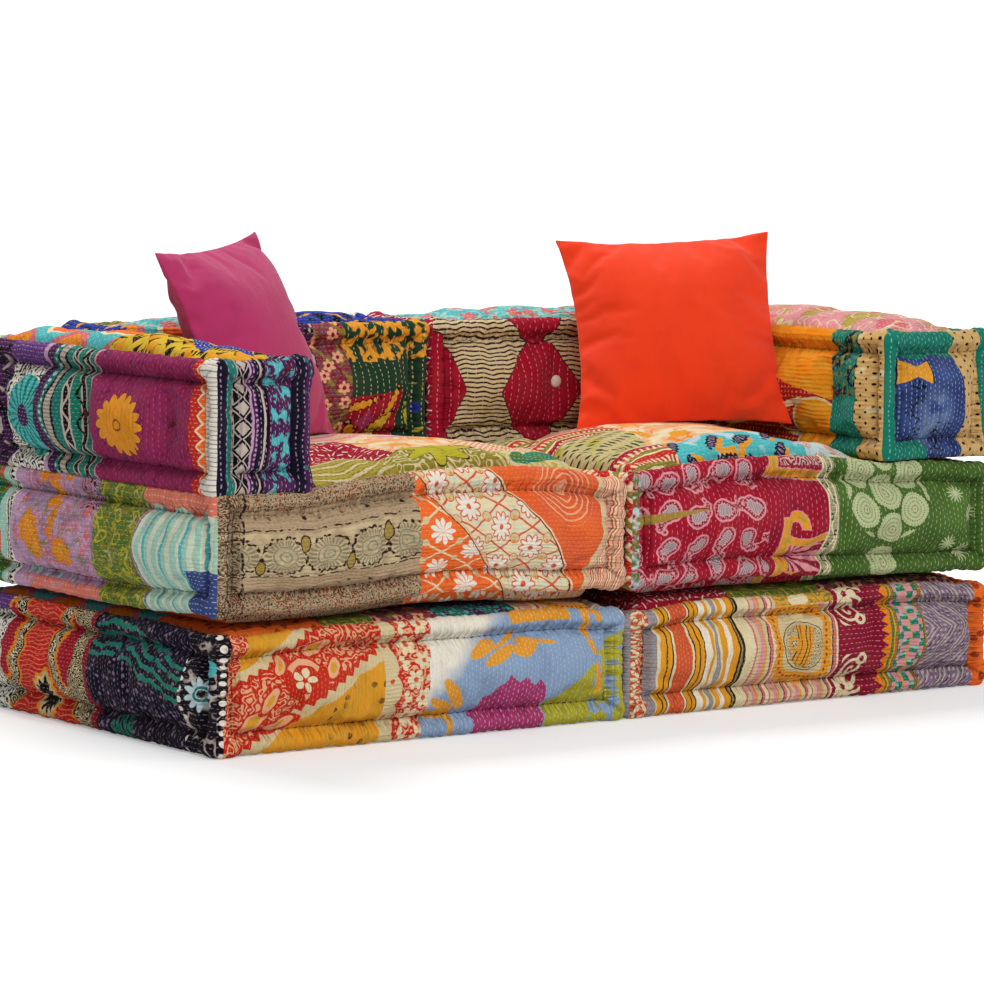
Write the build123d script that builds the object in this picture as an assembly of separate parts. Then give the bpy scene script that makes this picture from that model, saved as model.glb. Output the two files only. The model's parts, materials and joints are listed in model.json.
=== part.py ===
# Modular pouf of patchwork floor cushions, stacked as a two-seat sofa.
# Two seat cushions stand side by side on two more of the same kind. Two arm bolsters and two
# back bolsters lie on top, and two plain throw pillows lean in the corners.
# Every cushion comes apart into a quilted cover with stuffed edge rolls, a core block, a plain
# base panel and the tufting ties that are pulled through all three.
# Frame: origin on the floor under the middle, +X to the right along the front, +Y to the back,
# +Z up. Lengths are millimetres, angles are degrees.

import os
from math import ceil, cos, floor, radians
from build123d import *

# Seat cushions
seat_width = 720
seat_depth = 700
seat_height = 182
seat_crown_rise = 46
seat_side_bow = 18
seat_tuft_spacing = 236
seat_tuft_depth = 12
pressed_tuft_depth = 6
seats_gap = 12
stack_gap = 0.3

# Arm bolsters, whose ends are flush with the front and back of the seats
arm_left_width = 158
arm_left_height = 184
arm_right_width = 218
arm_right_height = 194
arm_end_inset = 3
arm_tuft_spacing = 230

# Back bolsters, which fill the space between the arms
back_thickness = 190
back_height = 186
back_rear_inset = 3

# What the four bolsters share
bolster_crown_rise = 24
bolster_side_bow = 16
bolster_tuft_depth = 10
bolster_gap = 10

# Covers: edge rolls of stuffed and stitched cloth round a quilted wall
roll_radius = 15
corner_roll_radius = 13
roll_drop = 4
groove_inset = 14
groove_bow = 6
panel_inset = 15
base_panel_thickness = 4
crown_margin = 26
crown_clearance = 6

# Core blocks, which keep clear of the edge rolls
core_inset = 38
core_top_wall = 26
core_arch_rise = 8
core_corner_radius = 30
core_clearance = 0.3

# Tufting ties: twine through the cushion with a knot or a cloth button at each end
tie_radius = 1.5
tie_clearance = 0.2
knot_radius = 6
knot_height = 4
knot_clearance = 0.5
knot_seat_gap = 0.3
tuft_floor_radius = 12
tuft_mouth_radius = 38
side_tuft_mouth_radius = 28
button_radius = 11
button_height = 6

# Throw pillows
pillow_width = 338
pillow_height = 330
pillow_thickness = 128
pillow_cloth = 1.5
pillow_pad_clearance = 0.3
pillow_pull = 17
pillow_quarter_share = 0.5
pillow_quarter_puff_share = 0.87
pillow_corner_puff_share = 0.72
pillow_gap = 0.95
column_size = 3
column_tolerance = 0.1

# How each pillow stands: turned about the upright and leaned back, with its nearer side this
# far from its arm, and its middle this far in front of its back bolster
orange_turn = -30
orange_lean = 26
orange_arm_gap = 11
orange_from_back = 154
magenta_turn = 30
magenta_lean = 25
magenta_arm_gap = 33
magenta_from_back = 91

# Sections of the seat and bolster crowns: where each stands along the crown, and how high it is
crown_section_shares = [(-1, 0.06), (-0.82, 0.6), (-0.45, 0.93), (0, 1), (0.45, 0.93), (0.82, 0.6), (1, 0.06)]
crown_shoulder_share = 0.62
crown_shoulder_height_share = 0.86
crown_flank_height_share = 0.52

# Spare length for cuts that run past a face
overrun = 20


def bowed_outline(width, depth, inset, bow, z):
    """A rectangle drawn in at its corners, whose four sides bow outwards."""
    x = width / 2 - inset
    y = depth / 2 - inset
    corners = [(-x, -y), (x, -y), (x, y), (-x, y)]
    middles = [(0, -y - bow), (x + bow, 0), (0, y + bow), (-x - bow, 0)]
    edges = []
    for side in range(len(corners)):
        start = corners[side]
        end = corners[(side + 1) % len(corners)]
        edges.append(ThreePointArc(start, middles[side], end))
    return Pos(0, 0, z) * make_face(Wire(edges))


def roll_ring(width, depth, z):
    """The stuffed roll that runs round the top or the bottom of a cushion."""
    path = Pos(0, 0, z) * Rectangle(width - 2 * roll_radius, depth - 2 * roll_radius).wire()
    start = path.edges()[0]
    section = Plane(origin=start @ 0.5, z_dir=start % 0.5) * Circle(roll_radius)
    return sweep(section, path, transition=Transition.RIGHT)


def corner_rolls(width, depth, low, high):
    """The four upright rolls that join the two rings at the corners."""
    inset = roll_radius
    rolls = []
    for x in (inset - width / 2, width / 2 - inset):
        for y in (inset - depth / 2, depth / 2 - inset):
            post = Cylinder(corner_roll_radius, high - low, align=(Align.CENTER, Align.CENTER, Align.MIN))
            rolls.append(Pos(x, y, low) * post)
    return rolls


def crown(width, depth, rise):
    """A full dome on a rectangle, from arched sections that swell towards the middle."""
    sections = []
    for share, height_share in crown_section_shares:
        height = rise * height_share
        x = share * width / 2
        shoulder_y = crown_shoulder_share * depth / 2
        shoulder_z = crown_shoulder_height_share * height
        flank_y = (depth / 2 + shoulder_y) / 2
        flank_z = crown_flank_height_share * height
        flat = Line((-depth / 2, 0), (depth / 2, 0))
        right = ThreePointArc((depth / 2, 0), (flank_y, flank_z), (shoulder_y, shoulder_z))
        top = ThreePointArc((shoulder_y, shoulder_z), (0, height), (-shoulder_y, shoulder_z))
        left = ThreePointArc((-shoulder_y, shoulder_z), (-flank_y, flank_z), (-depth / 2, 0))
        face = make_face(Wire([flat, right, top, left]))
        sections.append(Plane(origin=(x, 0, 0), x_dir=(0, 1, 0), z_dir=(1, 0, 0)) * face)
    return loft(sections)


def block_body(width, depth, height, bow):
    """The outer form of a cushion without its crown: bowed sides between edge rolls."""
    low = base_panel_thickness / 2 + roll_radius
    high = height - roll_drop - roll_radius
    sides = loft(
        [
            bowed_outline(width, depth, groove_inset, groove_bow, low),
            bowed_outline(width, depth, groove_inset, bow, (low + high) / 2),
            bowed_outline(width, depth, groove_inset, groove_bow, high),
        ]
    )
    slab_size = (width - 2 * roll_radius, depth - 2 * roll_radius)
    slab = Box(*slab_size, height, align=(Align.CENTER, Align.CENTER, Align.MIN))
    body = sides + slab
    body = body + roll_ring(width, depth, low) + roll_ring(width, depth, high)
    for roll in corner_rolls(width, depth, low, high):
        body = body + roll
    return body


def base_panel(width, depth):
    """The plain cotton sheet that closes a cushion underneath, sewn to the lower roll."""
    size = (width - 2 * panel_inset, depth - 2 * panel_inset)
    return Box(*size, base_panel_thickness, align=(Align.CENTER, Align.CENTER, Align.MIN))


def core_block(width, depth, height, growth):
    """The stuffing: a block with rounded corners whose top is arched from front to back."""
    half_depth = depth / 2 - core_inset + growth
    low = base_panel_thickness
    shoulder = height - core_top_wall + growth
    profile = Wire(
        [
            Line((-half_depth, low), (half_depth, low)),
            Line((half_depth, low), (half_depth, shoulder)),
            ThreePointArc((half_depth, shoulder), (0, shoulder + core_arch_rise), (-half_depth, shoulder)),
            Line((-half_depth, shoulder), (-half_depth, low)),
        ]
    )
    half_width = width / 2 - core_inset + growth
    start = Plane(origin=(-half_width, 0, 0), x_dir=(0, 1, 0), z_dir=(1, 0, 0))
    block = extrude(start * make_face(profile), 2 * half_width)
    return fillet(block.edges().filter_by(Axis.Z), core_corner_radius)


def tuft_hollow(depth, mouth_radius):
    """What a tuft draws in: a cone with a flat floor, open upwards along +Z from its mouth."""
    slope = (mouth_radius - tuft_floor_radius) / depth
    top_radius = mouth_radius + slope * overrun
    cone = Cone(tuft_floor_radius, top_radius, depth + overrun, align=(Align.CENTER, Align.CENTER, Align.MIN))
    return Pos(0, 0, -depth) * cone


def knot(radius, height):
    """An eight-sided knot or button, standing on the plane it is pulled against."""
    return extrude(RegularPolygon(radius, 8), height)


def tie(length, radius, height):
    """Twine of a given length along Z, with a knot or button beyond each end."""
    twine = extrude(RegularPolygon(tie_radius, 6), length + 2 * knot_seat_gap)
    upper = Pos(0, 0, length + 2 * knot_seat_gap) * knot(radius, height)
    lower = Pos(0, 0, -height) * knot(radius, height)
    return Pos(0, 0, -knot_seat_gap) * (twine + upper + lower)


def tie_hole(length):
    """The passage for one twine, run past both of its ends."""
    hole = Cylinder(tie_radius + tie_clearance, length + 2 * overrun, align=(Align.CENTER, Align.CENTER, Align.MIN))
    return Pos(0, 0, -overrun) * hole


def surface_height(shape, x, y):
    """The height of the topmost point of a shape above a place."""
    hits = shape.find_intersection_points(Axis((x, y, 0), (0, 0, 1)))
    return max(point.Z for point, normal in hits)


def square_places(spacing):
    """Four places round the middle."""
    half = spacing / 2
    return [(x, y) for x in (-half, half) for y in (-half, half)]


def seat_cushion(tuft_depth, crown_size=None, crown_place=(0, 0)):
    """A seat cushion about its own middle: cover, base panel, core and ties."""
    body = block_body(seat_width, seat_depth, seat_height, seat_side_bow)
    if crown_size:
        dome = Pos(*crown_place, seat_height) * crown(*crown_size, seat_crown_rise)
        body = body + dome
    core = core_block(seat_width, seat_depth, seat_height, 0)
    cavity = core_block(seat_width, seat_depth, seat_height, core_clearance)
    base = base_panel(seat_width, seat_depth)
    recess_top = base_panel_thickness + knot_height + 2 * knot_clearance
    ties = []
    hollows = []
    holes = []
    recesses = []
    for x, y in square_places(seat_tuft_spacing):
        place = (x + crown_place[0], y + crown_place[1])
        top = surface_height(body, *place)
        floor = top - tuft_depth
        length = floor - recess_top
        hollows.append(Pos(*place, top) * tuft_hollow(tuft_depth, tuft_mouth_radius))
        holes.append(Pos(*place, recess_top) * tie_hole(length))
        recess = Cylinder(knot_radius + knot_clearance, recess_top - base_panel_thickness)
        recesses.append(Pos(*place, (recess_top + base_panel_thickness) / 2) * recess)
        ties.append(Pos(*place, recess_top) * tie(length, knot_radius, knot_height))
    cover = body - cavity - base - hollows - holes
    return {
        "cover": cover,
        "base": base,
        "core": core - recesses - holes,
        "ties": Compound(ties),
    }


def bolster(width, depth, height, tie_places, end_radius, end_height, across_y):
    """An arm or back bolster: like a seat cushion, but its ties run level through it."""
    body = block_body(width, depth, height, bolster_side_bow)
    dome_size = (width - 2 * crown_margin, depth - 2 * crown_margin)
    body = body + Pos(0, 0, height) * crown(*dome_size, bolster_crown_rise)
    core = core_block(width, depth, height, 0)
    cavity = core_block(width, depth, height, core_clearance)
    base = base_panel(width, depth)
    span = depth if across_y else width
    half = span / 2 - groove_inset + bolster_side_bow
    if across_y:
        side_plane = Plane(origin=(0, half, 0), x_dir=(1, 0, 0), z_dir=(0, 1, 0))
    else:
        side_plane = Plane(origin=(half, 0, 0), x_dir=(0, 1, 0), z_dir=(1, 0, 0))
    middle = height / 2
    ties = []
    hollows = []
    holes = []
    for place in tie_places:
        centre = (place, middle, 0) if not across_y else (place, -middle, 0)
        length = 2 * (half - bolster_tuft_depth)
        hollow = tuft_hollow(bolster_tuft_depth, side_tuft_mouth_radius)
        near = Pos(0, 0, 0) * hollow
        far = Pos(0, 0, -2 * half) * Rot(180, 0, 0) * hollow
        at = side_plane.location * Pos(*centre)
        hollows.append(at * near)
        hollows.append(at * far)
        start = Pos(0, 0, bolster_tuft_depth - 2 * half)
        holes.append(at * start * tie_hole(length))
        ties.append(at * start * tie(length, end_radius, end_height))
    cover = body - cavity - base - hollows - holes
    return {
        "cover": cover,
        "base": base,
        "core": core - holes,
        "ties": Compound(ties),
    }


def pillow_side(shrink, thickness):
    """One domed side of a pillow, over an outline whose four edges are drawn in."""
    x = pillow_width / 2 - shrink
    y = pillow_height / 2 - shrink
    corners = [(-x, -y, 0), (x, -y, 0), (x, y, 0), (-x, y, 0)]
    middles = [(0, pillow_pull - y, 0), (x - pillow_pull, 0, 0), (0, y - pillow_pull, 0), (pillow_pull - x, 0, 0)]
    edges = []
    for side in range(len(corners)):
        end = corners[(side + 1) % len(corners)]
        edges.append(Edge.make_three_point_arc(corners[side], middles[side], end))
    puff = thickness / 2
    quarter = pillow_quarter_share
    points = [(0, 0, puff)]
    for turn in (-1, 1):
        points.append((turn * quarter * x, 0, pillow_quarter_puff_share * puff))
        points.append((0, turn * quarter * y, pillow_quarter_puff_share * puff))
        for other in (-1, 1):
            points.append((turn * quarter * x, other * quarter * y, pillow_corner_puff_share * puff))
    return Face.make_surface(Wire(edges), surface_points=points)


def pillow_solid(shrink, thickness):
    """Both sides of a pillow, sewn together along the outline."""
    front = pillow_side(shrink, thickness)
    back = mirror(front, about=Plane.XY)
    return Solid(Shell([front, back]))


def column_heights(shape, choose):
    """The lowest or the highest point of a shape in each column of a square grid."""
    points, triangles = shape.tessellate(column_tolerance)
    heights = {}
    for triangle in triangles:
        first, second, third = (points[index] for index in triangle)
        across = second - first
        along = third - first
        area = across.X * along.Y - across.Y * along.X
        if abs(area) < column_tolerance**2:
            continue
        xs = [point.X for point in (first, second, third)]
        ys = [point.Y for point in (first, second, third)]
        for i in range(ceil(min(xs) / column_size), floor(max(xs) / column_size) + 1):
            for j in range(ceil(min(ys) / column_size), floor(max(ys) / column_size) + 1):
                x = i * column_size - first.X
                y = j * column_size - first.Y
                share = (x * along.Y - y * along.X) / area
                other = (y * across.X - x * across.Y) / area
                if share < 0 or other < 0 or share + other > 1:
                    continue
                z = first.Z + share * across.Z + other * along.Z
                heights[i, j] = choose(heights.get((i, j), z), z)
    return heights


def resting_height(shape, obstacles):
    """How far a shape rises from where it is, to stand just clear of what lies under it."""
    undersides = column_heights(shape, min)
    rise = -overrun * pillow_height
    for obstacle in obstacles:
        tops = column_heights(obstacle, max)
        for column in undersides.keys() & tops.keys():
            rise = max(rise, tops[column] - undersides[column])
    return rise + pillow_gap


def placed(pieces, location):
    """The same pieces at another place."""
    return {name: location * piece for name, piece in pieces.items()}


def build_all():
    """Every module at its place, as a table of node names and solids."""
    arm_length = seat_depth - 2 * arm_end_inset
    middle_left = -(seat_width + seats_gap) / 2
    middle_right = (seat_width + seats_gap) / 2
    upper = seat_height + stack_gap
    top = upper + seat_height + stack_gap
    outer = seat_width + seats_gap / 2

    # The free part of each upper seat, between its arm, its back bolster and the edge rolls
    roll = 2 * roll_radius
    front = -seat_depth / 2 + roll
    rear = seat_depth / 2 - back_rear_inset - back_thickness - crown_clearance
    left_start = arm_left_width + crown_clearance
    left_size = (seat_width - left_start - roll, rear - front)
    left_place = (left_start / 2 - roll / 2, (front + rear) / 2)
    right_start = arm_right_width + crown_clearance
    right_size = (seat_width - right_start - roll, rear - front)
    right_place = (roll / 2 - right_start / 2, (front + rear) / 2)

    lower_seat = seat_cushion(pressed_tuft_depth)
    upper_left_seat = seat_cushion(seat_tuft_depth, left_size, left_place)
    upper_right_seat = seat_cushion(seat_tuft_depth, right_size, right_place)

    arm_places = (-arm_tuft_spacing, 0, arm_tuft_spacing)
    knots = (knot_radius, knot_height)
    buttons = (button_radius, button_height)
    arm_left = bolster(arm_left_width, arm_length, arm_left_height, arm_places, *knots, False)
    arm_right = bolster(arm_right_width, arm_length, arm_right_height, arm_places, *knots, False)
    back_left_start = -outer + arm_left_width + bolster_gap
    back_right_end = outer - arm_right_width - bolster_gap
    back_middle = bolster_gap / 2
    back_left_size = -back_middle - back_left_start
    back_right_size = back_right_end - back_middle
    back_left = bolster(back_left_size, back_thickness, back_height, (0,), *buttons, True)
    back_right = bolster(back_right_size, back_thickness, back_height, (0,), *buttons, True)

    back_y = seat_depth / 2 - back_rear_inset - back_thickness / 2
    modules = {
        "seat_lower_left": placed(lower_seat, Pos(middle_left, 0, 0)),
        "seat_lower_right": placed(lower_seat, Pos(middle_right, 0, 0)),
        "seat_upper_left": placed(upper_left_seat, Pos(middle_left, 0, upper)),
        "seat_upper_right": placed(upper_right_seat, Pos(middle_right, 0, upper)),
        "arm_left": placed(arm_left, Pos(arm_left_width / 2 - outer, 0, top)),
        "arm_right": placed(arm_right, Pos(outer - arm_right_width / 2, 0, top)),
        "back_left": placed(back_left, Pos((back_left_start - back_middle) / 2, back_y, top)),
        "back_right": placed(back_right, Pos((back_right_end + back_middle) / 2, back_y, top)),
    }

    face_y = seat_depth / 2 - back_rear_inset - back_thickness
    pillow_pieces = {
        "cover": pillow_solid(0, pillow_thickness)
        - pillow_solid(pillow_cloth, pillow_thickness - 2 * pillow_cloth),
        "pad": pillow_solid(
            pillow_cloth + pillow_pad_clearance, pillow_thickness - 2 * pillow_cloth - 2 * pillow_pad_clearance
        ),
    }
    whole_pillow = pillow_solid(0, pillow_thickness)
    half_pillow = pillow_width / 2 - pillow_pull
    orange_reach = half_pillow * cos(radians(orange_turn)) + orange_arm_gap
    magenta_reach = half_pillow * cos(radians(magenta_turn)) + magenta_arm_gap
    stands = {
        "pillow_orange": (
            outer - arm_right_width - orange_reach, face_y - orange_from_back,
            orange_turn, orange_lean, ("seat_upper_right", "back_right", "arm_right"),
        ),
        "pillow_magenta": (
            arm_left_width - outer + magenta_reach, face_y - magenta_from_back,
            magenta_turn, magenta_lean, ("seat_upper_left", "back_left", "arm_left"),
        ),
    }
    for name, (x, y, turn, lean, neighbours) in stands.items():
        attitude = Pos(x, y, 0) * Rot(0, 0, turn) * Rot(90 - lean, 0, 0)
        obstacles = [modules[neighbour]["cover"] for neighbour in neighbours]
        height = resting_height(attitude * whole_pillow, obstacles)
        modules[name] = placed(pillow_pieces, Pos(0, 0, height) * attitude)

    nodes = {}
    for module, pieces in modules.items():
        for piece, shape in pieces.items():
            nodes[module + "_" + piece] = shape
    return nodes


def main():
    """Write one STEP file for each node."""
    os.makedirs("parts", exist_ok=True)
    for name, shape in build_all().items():
        export_step(shape, "parts/" + name + ".step")


main()
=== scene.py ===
# %% [markdown]
# # A modular patchwork pouf
# Two pairs of square floor cushions are stacked as a low two-seat sofa. Two arm bolsters and two
# back bolsters lie on top, and two plain throw pillows lean in the corners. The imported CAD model
# gives every cushion its place and size; this script gives each one its cloth.

# %% Load the frame
import json
import math

import bmesh
import bpy
import numpy as np
from mathutils import Matrix, Vector, kdtree, noise

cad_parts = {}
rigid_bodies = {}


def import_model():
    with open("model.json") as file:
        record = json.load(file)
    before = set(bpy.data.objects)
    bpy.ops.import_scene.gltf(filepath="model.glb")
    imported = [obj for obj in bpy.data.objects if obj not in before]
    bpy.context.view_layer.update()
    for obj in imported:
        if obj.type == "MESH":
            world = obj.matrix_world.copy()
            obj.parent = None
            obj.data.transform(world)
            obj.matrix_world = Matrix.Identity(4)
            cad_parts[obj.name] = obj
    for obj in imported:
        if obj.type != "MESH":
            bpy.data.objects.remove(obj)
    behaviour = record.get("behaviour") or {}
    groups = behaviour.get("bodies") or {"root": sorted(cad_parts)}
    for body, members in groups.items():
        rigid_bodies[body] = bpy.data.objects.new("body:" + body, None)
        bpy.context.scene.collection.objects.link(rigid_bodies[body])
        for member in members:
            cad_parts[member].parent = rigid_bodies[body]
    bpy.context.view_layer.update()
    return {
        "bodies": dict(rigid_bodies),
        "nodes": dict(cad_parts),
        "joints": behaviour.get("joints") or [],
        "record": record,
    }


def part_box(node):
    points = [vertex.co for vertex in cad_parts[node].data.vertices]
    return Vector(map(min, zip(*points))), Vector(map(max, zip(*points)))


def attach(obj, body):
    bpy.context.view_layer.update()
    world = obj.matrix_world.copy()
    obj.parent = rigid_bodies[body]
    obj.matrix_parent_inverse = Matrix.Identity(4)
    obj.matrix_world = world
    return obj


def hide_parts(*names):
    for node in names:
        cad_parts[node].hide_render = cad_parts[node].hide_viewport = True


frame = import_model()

# %% [markdown]
# ## Camera
# The photo is taken from the front left, a little above the seats, with a long lens. The camera's
# place and turn were worked out from the straight edges of the stacked seat cushions.

# %% Camera
FRAME_PIXELS = 984
FOCAL_PIXELS = 4300
CAMERA_PLACE = (-3.956, -5.302, 0.923)
CAMERA_YAW = -36.78
CAMERA_PITCH = 5.275
CAMERA_ROLL = 0.71


def stood(place, turn, tip, roll):
    """The matrix that rolls a thing about Z, tips it up about X, turns it and puts it in its place."""
    about = [Matrix.Rotation(math.radians(a), 4, axis) for a, axis in ((turn, "Z"), (tip, "X"), (roll, "Z"))]
    return Matrix.Translation(place) @ about[0] @ about[1] @ about[2]


camera_data = bpy.data.cameras.new("camera")
camera_data.sensor_width = 36
camera_data.lens = camera_data.sensor_width * FOCAL_PIXELS / FRAME_PIXELS
camera = bpy.data.objects.new("camera", camera_data)
bpy.context.scene.collection.objects.link(camera)
camera.matrix_world = stood(CAMERA_PLACE, CAMERA_YAW, 90 - CAMERA_PITCH, CAMERA_ROLL)
bpy.context.scene.camera = camera
print("lens", round(camera_data.lens, 1), "mm")

# %% [markdown]
# ## Dyes
# The covers are sewn from pieces of old printed and stitched cotton. Their colours are kept as one
# list of dyes, so that a print names its colours in plain words.

# %% Dyes
DYES = dict(
    crimson="A8152F", scarlet="CC2B22", coral="D95A3C", orange="F9702C", tangerine="EE8A12",
    amber="EBA02A", mustard="DBA334", yellow="E2BC33", lime="B7B02C", olive="8B8430", khaki="B3A145",
    leaf="547A30", green="3C5A24", deep_green="1F3F2C", sage="C2CA9C", mint="A5D6C6", pale_mint="CFE6D6",
    jade="16806A", teal="1F7A70", turquoise="4FBFC4", ice="BFDADF", sky="8FA9CC", blue="3D5290",
    indigo="2C3A72", dusk="7E4A50", straw="CDBE86", royal="25389A", navy="17152A", ink="0D0B12",
    purple="4A2150", violet="6A3A80", plum="93285A", magenta="B23A72", pink="E59AA2", rose="D9707A",
    lilac="C79FC2", mauve="8C7390", salmon="E8806A", peach="F0B48C", cream="ECE0B8", ecru="DCCB9E",
    tan="D8AE6C", taupe="8F8468", brown="5B3E2A", umber="2E1E17", maroon="8E1733", white="F4EEDF",
    sand="B79D7C", celadon="ADA988", old_gold="A58A3C", grey="9A98A0", stone="C6B9AC", russet="A8401E",
    hot_orange="F43C0C", deep_orange="D92E08", hot_pink="B83068", deep_pink="9C2558",
)


def dye(name):
    """A dye as the linear colour that Blender works with."""
    channels = [int(DYES[name][i : i + 2], 16) / 255 for i in (0, 2, 4)]
    linear = [c / 12.92 if c <= 0.04045 else ((c + 0.055) / 1.055) ** 2.4 for c in channels]
    return (*linear, 1)


print(len(DYES), "dyes")

# %% [markdown]
# ## Drawing with nodes
# A print is a sum over simple shapes: stripes, dots, petals, scrolls. Written node by node each
# would take pages, so a small class stands for "a number that varies over the cloth". Adding or
# scaling two such fields adds a Math node, and the formulas of a print stay readable. Masks are
# such numbers too, from 0 to 1: a & b is where both are 1, and a | b where either is.

# %% Fields
class Field:
    """A number that varies over the cloth. Sums and products of fields make Math nodes."""

    def __init__(self, tree, socket):
        self.tree = tree
        self.socket = socket

    def __add__(self, other):
        return calculate("ADD", self, other)

    __radd__ = __add__

    def __sub__(self, other):
        return calculate("SUBTRACT", self, other)

    def __rsub__(self, other):
        return calculate("SUBTRACT", other, self)

    def __neg__(self):
        return calculate("SUBTRACT", 0, self)

    def __mul__(self, other):
        return calculate("MULTIPLY", self, other)

    __rmul__ = __and__ = __mul__

    def __or__(self, other):
        return calculate("MAXIMUM", self, other)

    def __truediv__(self, other):
        return calculate("DIVIDE", self, other)

    def __abs__(self):
        return calculate("ABSOLUTE", self)


def step(tree, kind, *feeds, **named):
    """Adds a node and gives its first output. The feeds go to its sockets in order. A name with a
    capital letter is a socket's, with _ for each space, and any other name is a setting."""
    node = tree.nodes.new(kind)
    for name, value in named.items():
        if name[0].islower():
            setattr(node, name, value)
    sockets = {name.replace("_", " "): value for name, value in named.items() if name[0].isupper()}
    for socket, value in [*enumerate(feeds), *sockets.items()]:
        source = value.socket if isinstance(value, Field) else value
        if isinstance(source, bpy.types.NodeSocket):
            tree.links.new(source, node.inputs[socket])
        else:
            node.inputs[socket].default_value = source
    return next(output for output in node.outputs if output.enabled)


def calculate(operation, *values, clamp=False):
    """One Math node on fields and plain numbers."""
    tree = next(value.tree for value in values if isinstance(value, Field))
    return Field(tree, step(tree, "ShaderNodeMath", *values, operation=operation, use_clamp=clamp))


def noise_at(tree, u, v, detail=1.0, seed=0):
    """Soft random blobs about one unit of u and v in size, between 0 and 1."""
    point = step(tree, "ShaderNodeCombineXYZ", u, v, seed)
    return Field(tree, step(tree, "ShaderNodeTexNoise", Vector=point, Scale=1, Detail=detail))


def mixed(tree, under, over, share, blend="MIX"):
    """Lays one colour over another. Each is a dye's name, a colour or a socket."""
    node = step(tree, "ShaderNodeMix", share, data_type="RGBA", blend_type=blend).node
    for socket, value in zip([s for s in node.inputs if s.type == "RGBA"], (under, over)):
        if isinstance(value, bpy.types.NodeSocket):
            tree.links.new(value, socket)
        else:
            socket.default_value = dye(value) if isinstance(value, str) else value
    return next(s for s in node.outputs if s.type == "RGBA")


print("a sum of two fields is one Math node")

# %% Plain words for the sums that prints need
def wrap(field, size):
    """Repeats a field every size, from minus half of it to plus half."""
    return calculate("WRAP", field, size / 2, -size / 2)


def length(x, y):
    return calculate("SQRT", x * x + y * y)


def square(field):
    return field * field


def bearing(x, y):
    return calculate("ARCTAN2", y, x)


def cosine(field):
    return calculate("COSINE", field)


def wave(field, period):
    return calculate("SINE", field * (2 * math.pi / period))


def fraction(field):
    return calculate("FRACT", field)


def floor(field):
    return calculate("FLOOR", field)


def nearer(first, second):
    return calculate("MINIMUM", first, second)


def farther(first, second):
    return calculate("MAXIMUM", first, second)


def inside(field, soft=0.7):
    """1 where the field is below zero, with an edge this soft."""
    return calculate("MULTIPLY_ADD", field, -1 / soft, 0.5, clamp=True)


def line(field, half, soft=0.7):
    """1 on a line along which the field is zero."""
    return inside(abs(field) - half, soft)


def between(field, low, high, soft=0.7):
    return line(field - (low + high) / 2, (high - low) / 2, soft)


def blob(x, y, radius):
    """1 on a round spot."""
    return inside(length(x, y) - radius)


def turned(x, y, degrees):
    """Coordinates turned about the corner of the patch."""
    c, s = math.cos(math.radians(degrees)), math.sin(math.radians(degrees))
    return x * c + y * s, y * c - x * s


def half_drop(x, y, wide, high):
    """Places relative to the nearest motif of a half-drop repeat."""
    x1, y1 = wrap(x, wide), wrap(y, high)
    x2, y2 = wrap(x - wide / 2, wide), wrap(y - high / 2, high)
    first = calculate("LESS_THAN", x1 * x1 + y1 * y1, x2 * x2 + y2 * y2)
    return x2 + (x1 - x2) * first, y2 + (y1 - y2) * first


print("a quarter turn takes (1, 0) to", [round(value, 3) for value in turned(1, 0, 90)])

# %% Motifs, each below zero inside
def petals(x, y, count, reach, wide):
    """A ring of petals round a centre."""
    radius = length(x, y)
    aside = wrap(bearing(x, y), 2 * math.pi / count)
    along = radius * cosine(aside)
    across = radius * calculate("SINE", aside)
    along = (along - reach * 0.6) / (reach * 0.4)
    across = across / wide
    return (along * along + across * across - 1) * (wide * 0.5)


def ellipse(x, y, long, high):
    """An oval, with its distances measured along its shorter way."""
    return (length(x / long, y / high) - 1) * min(long, high)


def running_stitch(along, across, row, pitch, dash, half=0.7):
    """Rows of short stitches, each row shifted by half a stitch."""
    rows = across / row
    odd = fraction(floor(rows) * 0.5)
    off_row = abs(fraction(rows) - 0.5) * row
    off_dash = abs(fraction(along / pitch + odd) - 0.5) * pitch
    return inside(off_row - half) & inside(off_dash - dash / 2)


# %% [markdown]
# ## A patch of cloth
# Each patch has its own material. It reads the UV map that the cushion was given: metres on the
# flat cloth, from the patch's lower left corner, turned into millimetres here. A little noise
# shakes the lines, because the prints are stamped and sewn by hand.

# %% The cloth of one patch
def new_material(name):
    material = bpy.data.materials.new(name)
    material.use_nodes = True
    return material


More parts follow.
